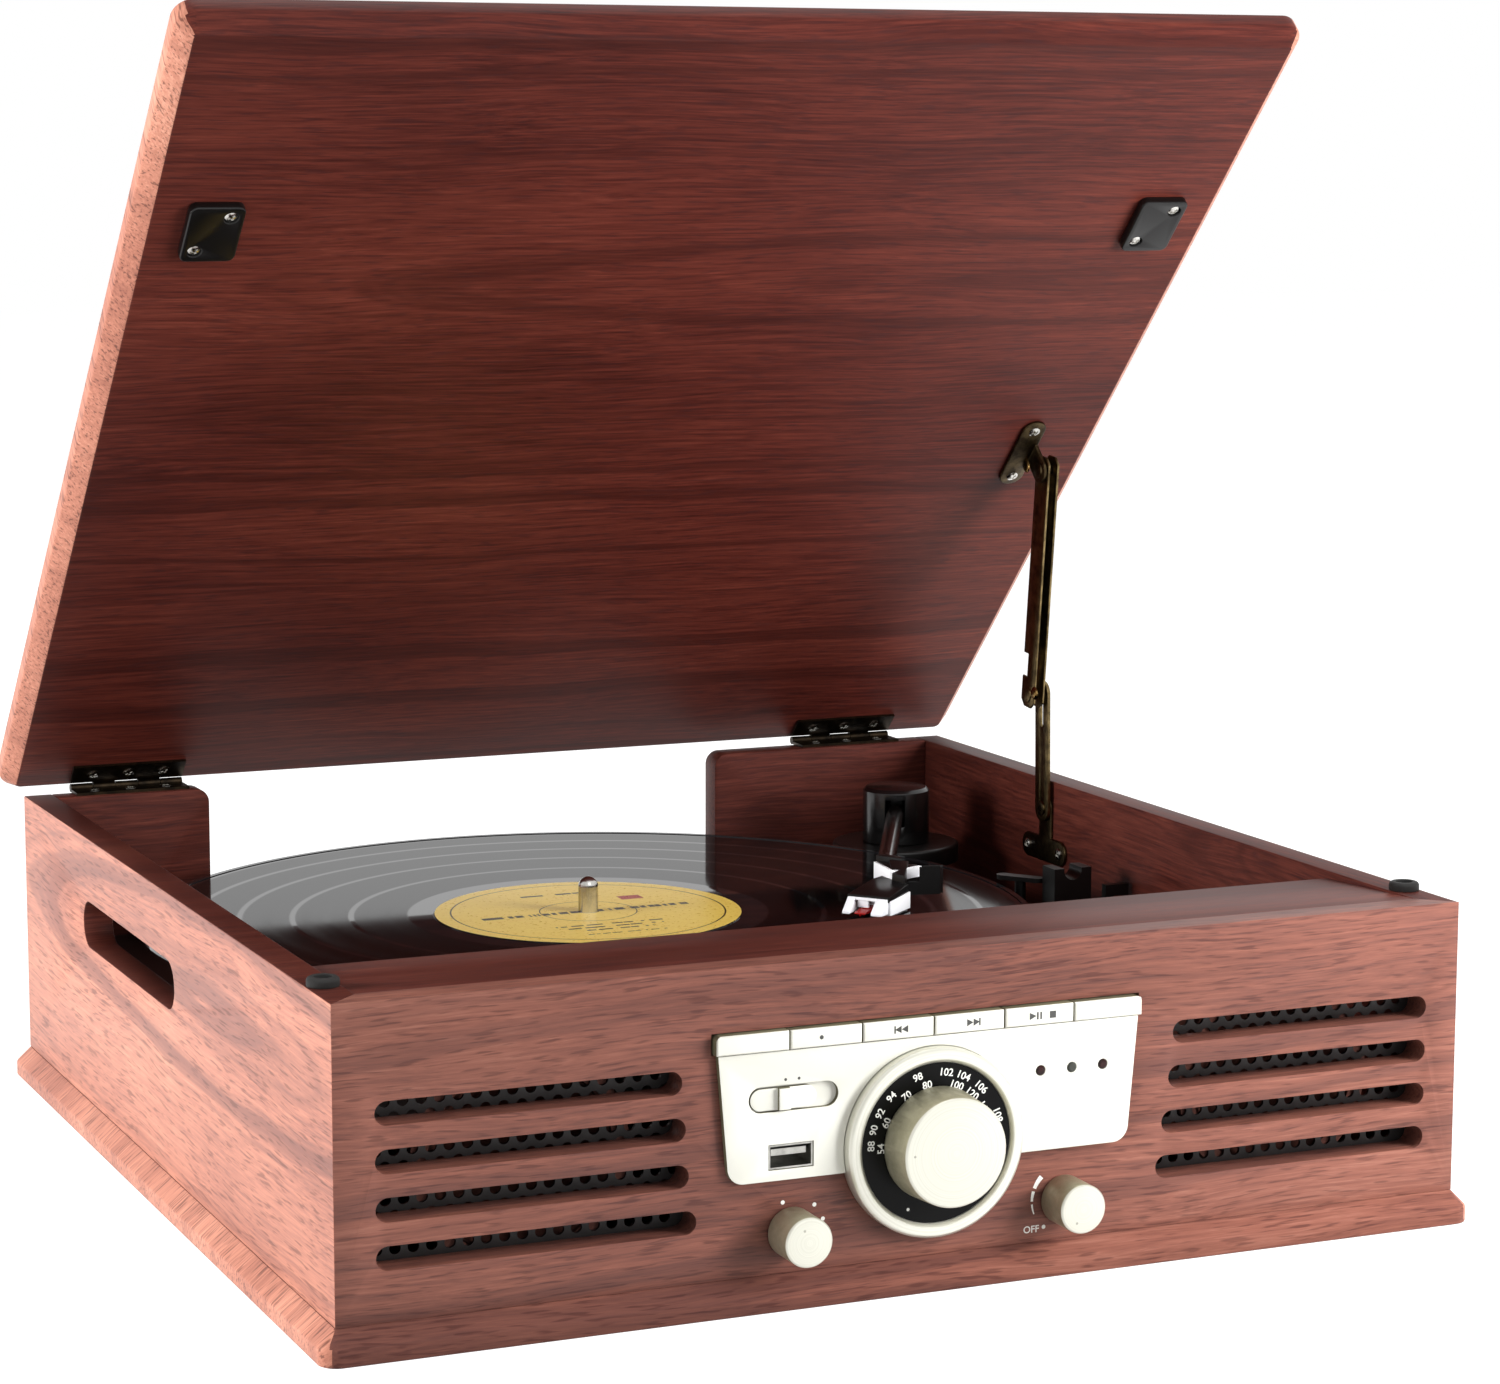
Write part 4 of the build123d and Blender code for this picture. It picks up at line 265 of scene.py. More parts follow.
def vinyl_and_label():
    """Pressed PVC with fine grooves and a few plain bands, and a printed paper label glued in the middle."""
    material = new_material("pressed_vinyl")
    tree = material.node_tree
    place = add(tree, "ShaderNodeTexCoord")
    centred = add(
        tree, "ShaderNodeMapping",
        {"Vector": place.outputs["Object"], "Location": (-SPINDLE.x, -SPINDLE.y, 0.0)},
    )
    flat = add(
        tree, "ShaderNodeVectorMath", {0: centred.outputs[0], 1: (1.0, 1.0, 0.0)}, operation="MULTIPLY",
    )
    radius = add(tree, "ShaderNodeVectorMath", {0: flat.outputs[0]}, operation="LENGTH").outputs["Value"]
    # grooves are ten to the millimetre, drawn 0.7 mm apart so that they show
    grooves = add(
        tree, "ShaderNodeTexNoise", {"W": radius, "Scale": 1.0 / (0.7 * MM), "Detail": 2.0},
        noise_dimensions="1D",
    )
    loudness = add(
        tree, "ShaderNodeTexNoise", {"W": radius, "Scale": 1.0 / (7.0 * MM), "Detail": 3.0},
        noise_dimensions="1D",
    )
    # plain bands between the tracks
    bands = add(tree, "ShaderNodeValToRGB", {"Fac": add(tree, "ShaderNodeMapRange", {
        "Value": radius, "From Min": GROOVES_INNER, "From Max": GROOVES_OUTER,
    }).outputs[0]})
    gaps = set_ramp(
        bands, (0.0, "#ffffff"), (0.105, "#ffffff"),
        (0.112, "#000000"), (0.285, "#000000"), (0.290, "#ffffff"), (0.303, "#ffffff"),
        (0.308, "#000000"), (0.480, "#000000"), (0.485, "#ffffff"), (0.497, "#ffffff"),
        (0.502, "#000000"), (0.655, "#000000"), (0.660, "#ffffff"), (0.672, "#ffffff"),
        (0.677, "#000000"), (0.815, "#000000"), (0.820, "#ffffff"), (0.832, "#ffffff"),
        (0.837, "#000000"), (0.955, "#000000"), (0.960, "#ffffff"), (1.0, "#ffffff"),
    )
    height = add(
        tree, "ShaderNodeMix", {"Factor": gaps, "A": grooves.outputs[0], "B": 0.6}, data_type="FLOAT",
    )
    ridges = add(tree, "ShaderNodeBump", {"Height": height.outputs[0], "Strength": 0.05, "Distance": 0.00003})
    worked = add(tree, "ShaderNodeMapRange", {"Value": loudness.outputs[0], "To Min": 0.05, "To Max": 0.10})
    polish = add(
        tree, "ShaderNodeMix", {"Factor": gaps, "A": worked.outputs[0], "B": 0.03}, data_type="FLOAT",
    )
    disc_colour = set_ramp(
        add(tree, "ShaderNodeValToRGB", {"Fac": loudness.outputs[0]}), (0.3, "#080809"), (0.7, "#0d0d0e"),
    )
    # the smooth bands mirror more of what the grooves scatter
    mirror = add(tree, "ShaderNodeMix", {"Factor": gaps, "A": 0.1, "B": 0.5}, data_type="FLOAT").outputs[0]
    # the smooth bands also take a lighter base colour: a painted sheen
    disc_tone_and_band_sheen = add(
        tree, "ShaderNodeMix", {"Factor": gaps, "A": disc_colour, "B": linear("#19191b")}, data_type="RGBA",
    )
    disc = add(tree, "ShaderNodeBsdfPrincipled", {
        "Base Color": disc_tone_and_band_sheen.outputs["Result"], "Roughness": polish.outputs[0],
        "Normal": ridges.outputs[0], "IOR": 1.44, "Specular IOR Level": mirror,
    })
    # label: yellow paper, a dark ring near its edge, lines of plain bars and a small red block
    fibre = add(tree, "ShaderNodeTexNoise", {"Vector": centred.outputs[0], "Scale": 900.0, "Detail": 4.0})
    paper = set_ramp(
        add(tree, "ShaderNodeValToRGB", {"Fac": fibre.outputs[0]}), (0.3, "#efc955"), (0.7, "#fadb72"),
    )
    axes = add(tree, "ShaderNodeSeparateXYZ", {0: centred.outputs[0]})
    ring = add(tree, "ShaderNodeMath", {0: radius, 1: 0.0465, 2: 0.00028}, operation="COMPARE")
    hole_ring = add(tree, "ShaderNodeMath", {0: radius, 1: 0.0165, 2: 0.0002}, operation="COMPARE")
    ink = add(
        tree, "ShaderNodeMath", {0: ring.outputs[0], 1: hole_ring.outputs[0]}, operation="MAXIMUM",
    ).outputs[0]
    # each row of bars: middle y, half height, half length and bar spacing, in mm
    for row_y, half_height, half_length, pitch in (
        (31.0, 1.0, 13.0, 5.2), (0.0, 1.6, 38.0, 2.6), (-22.0, 0.7, 20.0, 3.6), (-26.0, 0.7, 17.0, 4.4),
        (-30.0, 0.7, 12.0, 3.1), (-36.5, 0.45, 14.0, 2.2),
    ):
        in_row = add(
            tree, "ShaderNodeMath", {0: axes.outputs["Y"], 1: row_y * MM, 2: half_height * MM},
            operation="COMPARE",
        )
        in_line = add(
            tree, "ShaderNodeMath", {0: axes.outputs["X"], 1: 0.0, 2: half_length * MM}, operation="COMPARE",
        )
        beat = add(
            tree, "ShaderNodeTexNoise", {"W": axes.outputs["X"], "Scale": 1.0 / (pitch * MM), "Detail": 1.0},
            noise_dimensions="1D",
        )
        bar = add(tree, "ShaderNodeMath", {0: beat.outputs[0], 1: 0.47}, operation="GREATER_THAN")
        row = add(tree, "ShaderNodeMath", {0: in_row.outputs[0], 1: in_line.outputs[0]}, operation="MULTIPLY")
        barred = add(tree, "ShaderNodeMath", {0: row.outputs[0], 1: bar.outputs[0]}, operation="MULTIPLY")
        ink = add(tree, "ShaderNodeMath", {0: ink, 1: barred.outputs[0]}, operation="MAXIMUM").outputs[0]
    printed = add(
        tree, "ShaderNodeMix", {"Factor": ink, "A": paper, "B": linear("#2d2415")}, data_type="RGBA",
    )
    red_x = add(tree, "ShaderNodeMath", {0: axes.outputs["X"], 1: 0.022, 2: 0.004}, operation="COMPARE")
    red_y = add(tree, "ShaderNodeMath", {0: axes.outputs["Y"], 1: 0.017, 2: 0.003}, operation="COMPARE")
    red = add(tree, "ShaderNodeMath", {0: red_x.outputs[0], 1: red_y.outputs[0]}, operation="MULTIPLY")
    label_colour = add(tree, "ShaderNodeMix", {
        "Factor": red.outputs[0], "A": printed.outputs["Result"], "B": linear("#a83226"),
    }, data_type="RGBA")
    matt = add(tree, "ShaderNodeBump", {"Height": fibre.outputs[0], "Strength": 0.15, "Distance": 0.00004})
    gloss = add(tree, "ShaderNodeMapRange", {"Value": fibre.outputs[0], "To Min": 0.24, "To Max": 0.34})
    label = add(tree, "ShaderNodeBsdfPrincipled", {
        "Base Color": label_colour.outputs["Result"], "Roughness": gloss.outputs[0],
        "Normal": matt.outputs[0],
    })
    # the pressed ring round the label stays vinyl
    on_label = add(tree, "ShaderNodeMath", {0: radius, 1: LABEL_EDGE}, operation="LESS_THAN")
    both = add(tree, "ShaderNodeMixShader", {0: on_label.outputs[0], 1: disc.outputs[0], 2: label.outputs[0]})
    add(tree, "ShaderNodeOutputMaterial", {"Surface": both.outputs[0]})
    return material


# ---------------------------------------------------------------- materials of this object
TURN_FRONT = (-math.pi / 2, 0.0, 0.0)
TURN_SIDE = (-math.pi / 2, -math.pi / 2, 0.0)
TURN_LID = (LID_ANGLE, 0.0, 0.0)
TURN_FLAT = (0.0, 0.0, 0.0)
# the grain of a wrapped edge stands across it, leaning a little
TURN_BEVEL = (0.0, 0.75 * math.pi, math.radians(15.0))
TURN_LID_EDGE = (LID_ANGLE, math.pi / 2, math.radians(15.0))
# One walnut foil covers the case; these tone sets are lit and shaded copies of it. The paler sets, for the
# left wall's sides and for the plinth's ends and the lid's side edges, hold painted light; the darker sets,
# for the top board and wall tops, the right and back walls and, darkest, the lid, hold painted shade.
WALNUT = ("#5a3a35", "#74493f", "#865548", "#966557")
WALNUT_PAINTED_LIGHT = ("#7c564f", "#a56f60", "#ba7f6c", "#c98f79")
WALNUT_PAINTED_SHADE = ("#2e1310", "#46201a", "#582b23", "#693a2e")
WALNUT_DEEP_PAINTED_SHADE = ("#30100d", "#4c1f19", "#602b22", "#74392d")
WALNUT_EDGE_PAINTED_LIGHT = ("#8f5b4d", "#ac715e", "#bd816c", "#cc947e")

wood_front = veneer("walnut_foil_front", TURN_FRONT, (0.06, 0.21, 0.02), WALNUT, shine=0.34)
wood_tops_painted_shade = veneer("walnut_foil_tops_painted_shade", TURN_FLAT, (-0.10, 0.05, 0.16), WALNUT_PAINTED_SHADE, ring_depth=0.3)
wood_left_painted_light = veneer(
    "walnut_foil_left_painted_light", TURN_SIDE, (-0.02, 0.075, -0.186), WALNUT_PAINTED_LIGHT, slope=0.12, ring_mm=16.0,
    ring_depth=0.8,
)
wood_right_painted_shade = veneer("walnut_foil_right_painted_shade", TURN_SIDE, (0.10, 0.10, 0.12), WALNUT_PAINTED_SHADE)
wood_back_painted_shade = veneer("walnut_foil_back_painted_shade", TURN_FRONT, (-0.05, 0.12, -0.12), WALNUT_PAINTED_SHADE, ring_depth=0.3)
wood_lid_painted_shade = veneer(
    "walnut_foil_lid_painted_shade", TURN_LID, (-0.06, -0.20, 0.225), WALNUT_DEEP_PAINTED_SHADE, slope=0.09, ring_mm=14.0, roughness=0.5,
)
wood_plinth = veneer("walnut_foil_plinth", TURN_FLAT, (0.12, -0.30, 0.03), WALNUT, roughness=0.36, shine=0.1)
wood_plinth_ends_painted_light = veneer(
    "walnut_foil_plinth_ends_painted_light", TURN_BEVEL, (0.3, 0.2, 0.1), WALNUT_EDGE_PAINTED_LIGHT, roughness=0.42, ring_depth=0.4,
    tick=0.6, mirrored=True,
)
wood_lid_edge_painted_light = veneer(
    "walnut_foil_lid_edge_painted_light", TURN_LID_EDGE, (0.3, 0.2, 0.1), WALNUT_EDGE_PAINTED_LIGHT, roughness=0.42, ring_depth=0.3,
    tick=0.6,
)
black = plastic("black_abs", "#0e0d0d", "#090808", 0.34, shine=0.35)
black_gloss = plastic("glossy_black_abs", "#0d0c0c", "#070606", 0.22, relief=0.08, coat=0.2)
rubber = plastic("black_rubber", "#1a1918", "#0f0f0e", 0.7, grain_mm=0.6, relief=0.4)
cream = plastic("cream_abs", "#e6e5db", "#e1e0d5", 0.33, relief=0.1)
# dark olive on the side walls of the fascia, the slide knob and the buttons: painted shade in the gaps
# between them
cream_painted_gap_shade = plastic("cream_abs_painted_gap_shade", "#77735c", "#68644e", 0.5, relief=0.1, shine=0.2)
white = plastic("white_abs", "#f4f4f6", "#e9e9ee", 0.3, relief=0.08)
red = plastic("red_acrylic", "#b3201c", "#8e1512", 0.22, relief=0.05, coat=0.4)
dial_black = plastic("printed_black_styrene", "#0b0b0b", "#060606", 0.3, relief=0.05, shine=0.1)
switch_plastic = plastic("grey_nylon", "#3a3b3d", "#2c2d2f", 0.45)
socket_plastic = plastic("glass_filled_nylon", "#202022", "#151516", 0.42)
ink_white = plastic("white_screen_ink", "#f2f2ee", "#e6e6e0", 0.5, relief=0.05)
ink_grey = plastic("grey_screen_ink", "#4a4a48", "#3e3e3c", 0.5, relief=0.05)
ink_pale = plastic("pale_screen_ink", "#a9a79a", "#9c9a8e", 0.5, relief=0.05)
cone_paper = plastic("pulp_cone_paper", "#5d3a32", "#452822", 0.85, grain_mm=0.8, relief=0.5)
board_green = plastic("green_solder_mask", "#1f5a35", "#174729", 0.35, relief=0.1)
steel = metal("nickel_plated_steel", "#d2d0cb", "#b4b2ac", 0.2, relief=0.04)
zinc = metal("zinc_plated_steel", "#b9b8b2", "#8f8e88", 0.34)
brass = metal("antique_brass", "#85734f", "#4d412c", 0.35, patch_mm=5.0)
brass_dark = metal("dark_antique_brass", "#5f5139", "#372d1f", 0.38, patch_mm=5.0)
brass_bright = metal("polished_antique_brass", "#b99a62", "#8a6c3c", 0.22, patch_mm=4.0)
hinge_metal = metal("bronzed_steel", "#463a2c", "#2a241e", 0.42, patch_mm=6.0)
grille_paint = metal("black_painted_steel", "#1b1818", "#100e0e", 0.42, metallic=0.2)
platter_metal = metal("brushed_aluminium", "#b3b3b1", "#8e8e8c", 0.32)
arm_metal = metal("black_lacquered_aluminium", "#2a2423", "#191615", 0.2, metallic=0.75, relief=0.03)
core_metal = metal("varnished_lamination_steel", "#6b6058", "#453e39", 0.5)
# the knobs' sides: satin anodising, whose darker olive tone is painted shade
champagne_side_painted_shade = metal("champagne_anodised_side_painted_shade", "#b9b49a", "#a29d84", 0.42, metallic=0.6)
champagne_ring = turned("champagne_anodised_ring", 0.0, DIAL_Z, "#e4e3d8", "#d7d6c9", 0.32)
champagne_tuning = turned("champagne_anodised_tuning", 0.0, DIAL_Z, "#dddcd0", "#d2d1c4", 0.34)
champagne_selector = turned("champagne_anodised_selector", -KNOB_X, KNOB_Z, "#dddcd0", "#d2d1c4", 0.34)
champagne_volume = turned("champagne_anodised_volume", KNOB_X, KNOB_Z, "#dddcd0", "#d2d1c4", 0.34)
vinyl = vinyl_and_label()


def lamp_lens():
    """Tinted acrylic lenses: dark red at both ends of the row and smoke grey between, glossy and unlit."""
    material = new_material("tinted_acrylic")
    tree = material.node_tree
    place = add(tree, "ShaderNodeTexCoord")
    axes = add(tree, "ShaderNodeSeparateXYZ", {0: place.outputs["Object"]})
    middle = add(
        tree, "ShaderNodeMath", {0: axes.outputs["X"], 1: MIDDLE_LAMP, 2: 0.005}, operation="COMPARE",
    )
    cloud = add(tree, "ShaderNodeTexNoise", {"Vector": place.outputs["Object"], "Scale": 700.0})
    reds = set_ramp(
        add(tree, "ShaderNodeValToRGB", {"Fac": cloud.outputs[0]}), (0.3, "#180403"), (0.7, "#2b0807"),
    )
    gloss = add(tree, "ShaderNodeMapRange", {"Value": cloud.outputs[0], "To Min": 0.08, "To Max": 0.16})
    tint = add(tree, "ShaderNodeMix", {
        "Factor": middle.outputs[0], "A": reds, "B": linear("#3c3d38"),
    }, data_type="RGBA")
    shader = add(tree, "ShaderNodeBsdfPrincipled", {
        "Base Color": tint.outputs["Result"], "Roughness": gloss.outputs[0], "IOR": 1.49,
        "Specular IOR Level": 0.3,
    })
    add(tree, "ShaderNodeOutputMaterial", {"Surface": shader.outputs[0]})
    return material


lens = lamp_lens()


# ---------------------------------------------------------------- how pieces are made
def once(parts):
    """Mesh parts without repeats, in the order they come, so that each run makes the same shape."""
    return list(dict.fromkeys(parts))


def dress(material, *names):
    """Give CAD nodes a material."""
    for name in names:
        mesh = nodes[name].data
        if not mesh.materials:
            mesh.materials.append(material)
        for index in range(len(mesh.materials)):
            mesh.materials[index] = material


def finish_piece(name, shape, materials, body, slot, *replaced, sharp=35.0):
    """Turn a bmesh into a piece that rides on a body, and free the bmesh."""
    mesh = bpy.data.meshes.new(name)
    shape.to_mesh(mesh)
    shape.free()
    for material in materials:
        mesh.materials.append(material)
    mesh.shade_smooth()
    mesh.set_sharp_from_angle(angle=math.radians(sharp))
    piece = bpy.data.objects.new(name, mesh)
    bpy.context.scene.collection.objects.link(piece)
    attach(piece, body)
    if replaced:
        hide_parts(*replaced)
    return piece


def eased(node, width, material, body, slot, segments=2, other=None, axis=0, limit=0.5, rounded=0):
    """The node's own shape with its sharp edges eased, as sanding or a mould radius leaves them. Faces
    that look along the axis, past the limit, take the other material; rounded is the side, -1 or 1, whose
    upper corner is rounder."""
    shape = bmesh.new()
    shape.from_mesh(nodes[node].data)
    bmesh.ops.remove_doubles(shape, verts=shape.verts, dist=SAME_POINT)
    bmesh.ops.dissolve_limit(shape, angle_limit=math.radians(0.6), verts=shape.verts, edges=shape.edges)
    if rounded:
        tip = max(rounded * v.co.x for v in shape.verts)
        top = max(v.co.z for v in shape.verts)
        corner = [e for e in shape.edges
                  if all(rounded * v.co.x > tip - 1e-5 and v.co.z > top - 1e-5 for v in e.verts)]
        bmesh.ops.bevel(
            shape, geom=corner, offset=1.6 * MM, segments=5, profile=0.5, material=-1, affect="EDGES",
        )
    sharp = [e for e in shape.edges if len(e.link_faces) == 2 and e.calc_face_angle() > math.radians(SHARP)]
    bmesh.ops.bevel(
        shape, geom=sharp, offset=width, segments=segments, profile=0.5, material=-1, affect="EDGES",
        clamp_overlap=True,
    )
    for face in shape.faces:
        face.material_index = 0
    materials = [material]
    if other:
        materials.append(other)
        for face in shape.faces:
            if abs(face.normal[axis]) > limit:
                face.material_index = 1
    return finish_piece(node + "_eased", shape, materials, body, slot, node)


# ---------------------------------------------------------------- wooden case and lid
# the left wall's sides, the plinth's ends and the lid's side edges take painted light; the wall tops, the top
# board, the right and back walls and the lid take painted shade
eased("plinth", 0.5 * MM, wood_plinth, "case", "wood", other=wood_plinth_ends_painted_light)
eased("left_wall", 0.4 * MM, wood_tops_painted_shade, "case", "wood", other=wood_left_painted_light)
eased("right_wall", 0.4 * MM, wood_right_painted_shade, "case", "wood")
eased("front_panel", 0.3 * MM, wood_front, "case", "wood")
eased("front_top_board", 0.25 * MM, wood_tops_painted_shade, "case", "wood")
eased("back_wall", 0.4 * MM, wood_back_painted_shade, "case", "wood")
eased("lid", 0.5 * MM, wood_lid_painted_shade, "lid", "wood", other=wood_lid_edge_painted_light)
dress(wood_back_painted_shade, "deck_rails")

# ---------------------------------------------------------------- deck and small parts kept from the solids
dress(black, "deck_plate", "arm_rest", "cue_lift")
dress(vinyl, "record")
dress(rubber, "slip_mat", "drive_belt")
dress(platter_metal, "platter")
dress(steel, "spindle", "motor_pulley")
dress(brass, "bearing_housing")
dress(zinc, "motor", "usb_socket", "socket_plate")
dress(hinge_metal, "hinge_case_leaves", "hinge_lid_leaves")
dress(grille_paint, "speaker_grilles")
dress(cone_paper, "speaker_drivers")
dress(core_metal, "transformer")
dress(board_green, "front_board", "main_board")
dress(switch_plastic, "panel_switches")
dress(socket_plastic, "rear_sockets")
dress(lens, "indicator_leds")
dress(dial_black, "dial_scale")
dress(black, "cue_lever")

eased("arm_base", 0.3 * MM, black, "case", "black_plastic")
eased("arm_turret", 0.3 * MM, black_gloss, "turret", "black_plastic")
eased("case_bumpers", 0.25 * MM, rubber, "case", "rubber")
eased("lid_pads", 0.35 * MM, black, "lid", "black_plastic")
eased("stay_case_bracket", 0.25 * MM, brass_dark, "case", "brass")
eased("stay_lid_bracket", 0.25 * MM, brass_dark, "lid", "brass")
eased("stay_lower_link", 0.25 * MM, brass, "stay_lower", "brass")
eased("stay_upper_link", 0.2 * MM, brass, "stay_upper", "brass")
# the side faces of the fascia, the slide knob and the buttons take painted gap shade; the faces that look
# forward stay cream
eased("control_fascia", 0.35 * MM, cream_painted_gap_shade, "case", "cream_plastic", other=cream, axis=1, limit=0.3)
eased("dial_ring", 0.25 * MM, champagne_ring, "case", "champagne_metal")
eased("tuning_knob", 0.25 * MM, champagne_side_painted_shade, "tuning", "champagne_metal", other=champagne_tuning, axis=1)
eased(
    "selector_knob", 0.2 * MM, champagne_side_painted_shade, "selector", "champagne_metal", other=champagne_selector,
    axis=1,
)
eased("volume_knob", 0.2 * MM, champagne_side_painted_shade, "volume", "champagne_metal", other=champagne_volume, axis=1)
eased("slide_knob", 0.15 * MM, cream_painted_gap_shade, "slide", "cream_plastic", other=cream, axis=1, limit=0.3)
for key in range(1, 7):
    # the outermost buttons have a rounder outer corner
    eased(
        f"button_{key}", 0.2 * MM, cream_painted_gap_shade, f"button_{key}", "cream_plastic", other=cream, axis=1,
        limit=0.3, rounded={1: -1, 6: 1}.get(key, 0),
    )

# ---------------------------------------------------------------- screws and rivets
def on_axis(place, facing):
    """Placing that turns local z to the facing direction."""
    turned_to = Vector(facing).to_track_quat("Z", "Y").to_matrix().to_4x4()
    return Matrix.Translation(Vector(place) * MM) @ turned_to


def set_screw(shape, place, facing, radius=2.1, height=0.8):
    """Domed head with a cross recess, seated on its place, in mm."""
    half_slot, half_cross = 0.2, 0.62
    made = bmesh.ops.create_grid(shape, x_segments=5, y_segments=5, size=1.0)
    for vert in made["verts"]:
        for axis in (0, 1):
            row = round(abs(vert.co[axis]) * 5 / 2 - 0.5)
            vert.co[axis] = math.copysign((half_slot, half_cross, 1.0)[row], vert.co[axis])
        outer = max(abs(vert.co.x), abs(vert.co.y)) > 0.99
        if outer:
            vert.co *= 1.0 / vert.co.length
        vert.co.z = 0.0 if outer else 0.45 - 0.35 * vert.co.xy.length_squared
    cross = [f for f in once(f for v in made["verts"] for f in v.link_faces)
             if f.calc_center_median().xy.length < 0.5 and abs(math.prod(f.calc_center_median().xy)) < 0.01]
    sunk = bmesh.ops.extrude_face_region(shape, geom=cross)
    bmesh.ops.delete(shape, geom=[f for f in cross if f.is_valid], context="FACES_ONLY")
    low = [g for g in sunk["geom"] if isinstance(g, bmesh.types.BMVert)]
    bmesh.ops.translate(shape, verts=low, vec=(0.0, 0.0, -0.4))
    verts = once([v for v in made["verts"] if v.is_valid] + low)
    rim = once(e for v in verts for e in v.link_edges if e.is_boundary)
    skirt = bmesh.ops.extrude_edge_only(shape, edges=rim)
    hem = [g for g in skirt["geom"] if isinstance(g, bmesh.types.BMVert)]
    bmesh.ops.translate(shape, verts=hem, vec=(0.0, 0.0, -0.35))
    turn = Matrix.Rotation(math.radians(31.0), 4, "Z")
    size = Matrix.Diagonal((radius * MM, radius * MM, height * MM / 0.8, 1.0))
    lift = Matrix.Translation((0.0, 0.0, 0.35 * height * MM / 0.8))
    bmesh.ops.transform(shape, matrix=on_axis(place, facing) @ lift @ turn @ size, verts=verts + hem)


def set_rivet(shape, place, facing, radius, height):
    """Low round rivet head, in mm."""
    made = bmesh.ops.create_cone(
        shape, cap_ends=True, cap_tris=False, segments=20, radius1=radius * MM, radius2=0.8 * radius * MM,
        depth=height * MM, matrix=on_axis(place, facing) @ Matrix.Translation((0.0, 0.0, 0.5 * height * MM)),
    )
    top = Vector(place) * MM + Vector(facing).normalized() * height * MM
    crown = [e for e in once(e for v in made["verts"] for e in v.link_edges)
             if all((v.co - top).length < 0.85 * radius * MM for v in e.verts)]
    bmesh.ops.bevel(
        shape, geom=crown, offset=0.3 * radius * MM, segments=3, profile=0.5, material=-1, affect="EDGES",
    )


def loose_parts(node):
    """Points of each loose part of a node's mesh, in mm."""
    shape = bmesh.new()
    shape.from_mesh(nodes[node].data)
    bmesh.ops.remove_doubles(shape, verts=shape.verts, dist=SAME_POINT)
    parts = []
    waiting = set(shape.verts)
    for first in shape.verts:
        if first not in waiting:
            continue
        waiting.remove(first)
        reached = [first]
        part = []
        while reached:
            vert = reached.pop()
            part.append(vert.co / MM)
            near = [v for v in (e.other_vert(vert) for e in vert.link_edges) if v in waiting]
            waiting.difference_update(near)
            reached.extend(near)
        parts.append(part)
    shape.free()
    return parts


def screws_for(node, body, *facings):
    """Screw heads on the places of a node's loose parts, each facing the way its part is thinnest."""
    shape = bmesh.new()
    for part in loose_parts(node):
        spans = []
        for way in facings:
            reaches = [point.dot(Vector(way)) for point in part]
            spans.append((max(reaches) - min(reaches), way))
        height, facing = min(spans)
        middle = sum(part, Vector()) / len(part)
        set_screw(shape, middle - 0.5 * height * Vector(facing), facing, height=height)
    bmesh.ops.recalc_face_normals(shape, faces=shape.faces)
    finish_piece(node + "_heads", shape, [steel], body, "steel", node, sharp=SHARP)


screws_for("case_screws", "case", (0.0, 0.0, 1.0), (0.0, 1.0, 0.0), (-1.0, 0.0, 0.0))
screws_for("lid_screws", "lid", (0.0, -math.sin(LID_ANGLE), -math.cos(LID_ANGLE)))

for name, body, place, radius, height in (
    ("stay_case_rivet", "case", (168.3, 69.5, 90.7), 2.6, 0.6),
    ("stay_elbow_rivet", "stay_upper", (162.7, 65.25, 134.1), 2.4, 0.7),
    ("stay_lid_rivet", "lid", (161.6, 71.5, 216.3), 2.6, 0.6),
):
    shape = bmesh.new()
    set_rivet(shape, place, (-1.0, 0.0, 0.0), radius, height)
    finish_piece(name, shape, [brass_bright], body, "brass", sharp=SHARP)

# ---------------------------------------------------------------- prints and marks
INK = 0.015 * MM  # half the thickness of a print


def set_text(shape, text, height, x, z, y, turn=0.0):
    """Plain figures, height high, on an upright face at y, turned clockwise by turn degrees; mm."""
    curve = bpy.data.curves.new("figures", "FONT")
    curve.body = text
    curve.extrude = 1.0
    curve.offset = 0.015
    curve.resolution_u = 3
    holder = bpy.data.objects.new("figures", curve)
    mesh = bpy.data.meshes.new_from_object(holder)
    bpy.data.objects.remove(holder)
    bpy.data.curves.remove(curve)
    before = set(shape.verts)
    shape.from_mesh(mesh)
    bpy.data.meshes.remove(mesh)
    verts = [v for v in shape.verts if v not in before]
    middle = [(max(v.co[k] for v in verts) + min(v.co[k] for v in verts)) / 2 for k in (0, 1)]
    size = height * MM / (max(v.co.y for v in verts) - min(v.co.y for v in verts))
    bmesh.ops.transform(shape, verts=verts, matrix=(
        Matrix.Translation((x * MM, y * MM, z * MM)) @ Matrix.Rotation(math.pi / 2, 4, "X")
        @ Matrix.Rotation(math.radians(-turn), 4, "Z") @ Matrix.Diagonal((size, size, INK, 1.0))
        @ Matrix.Translation((-middle[0], -middle[1], 0.0))
    ))


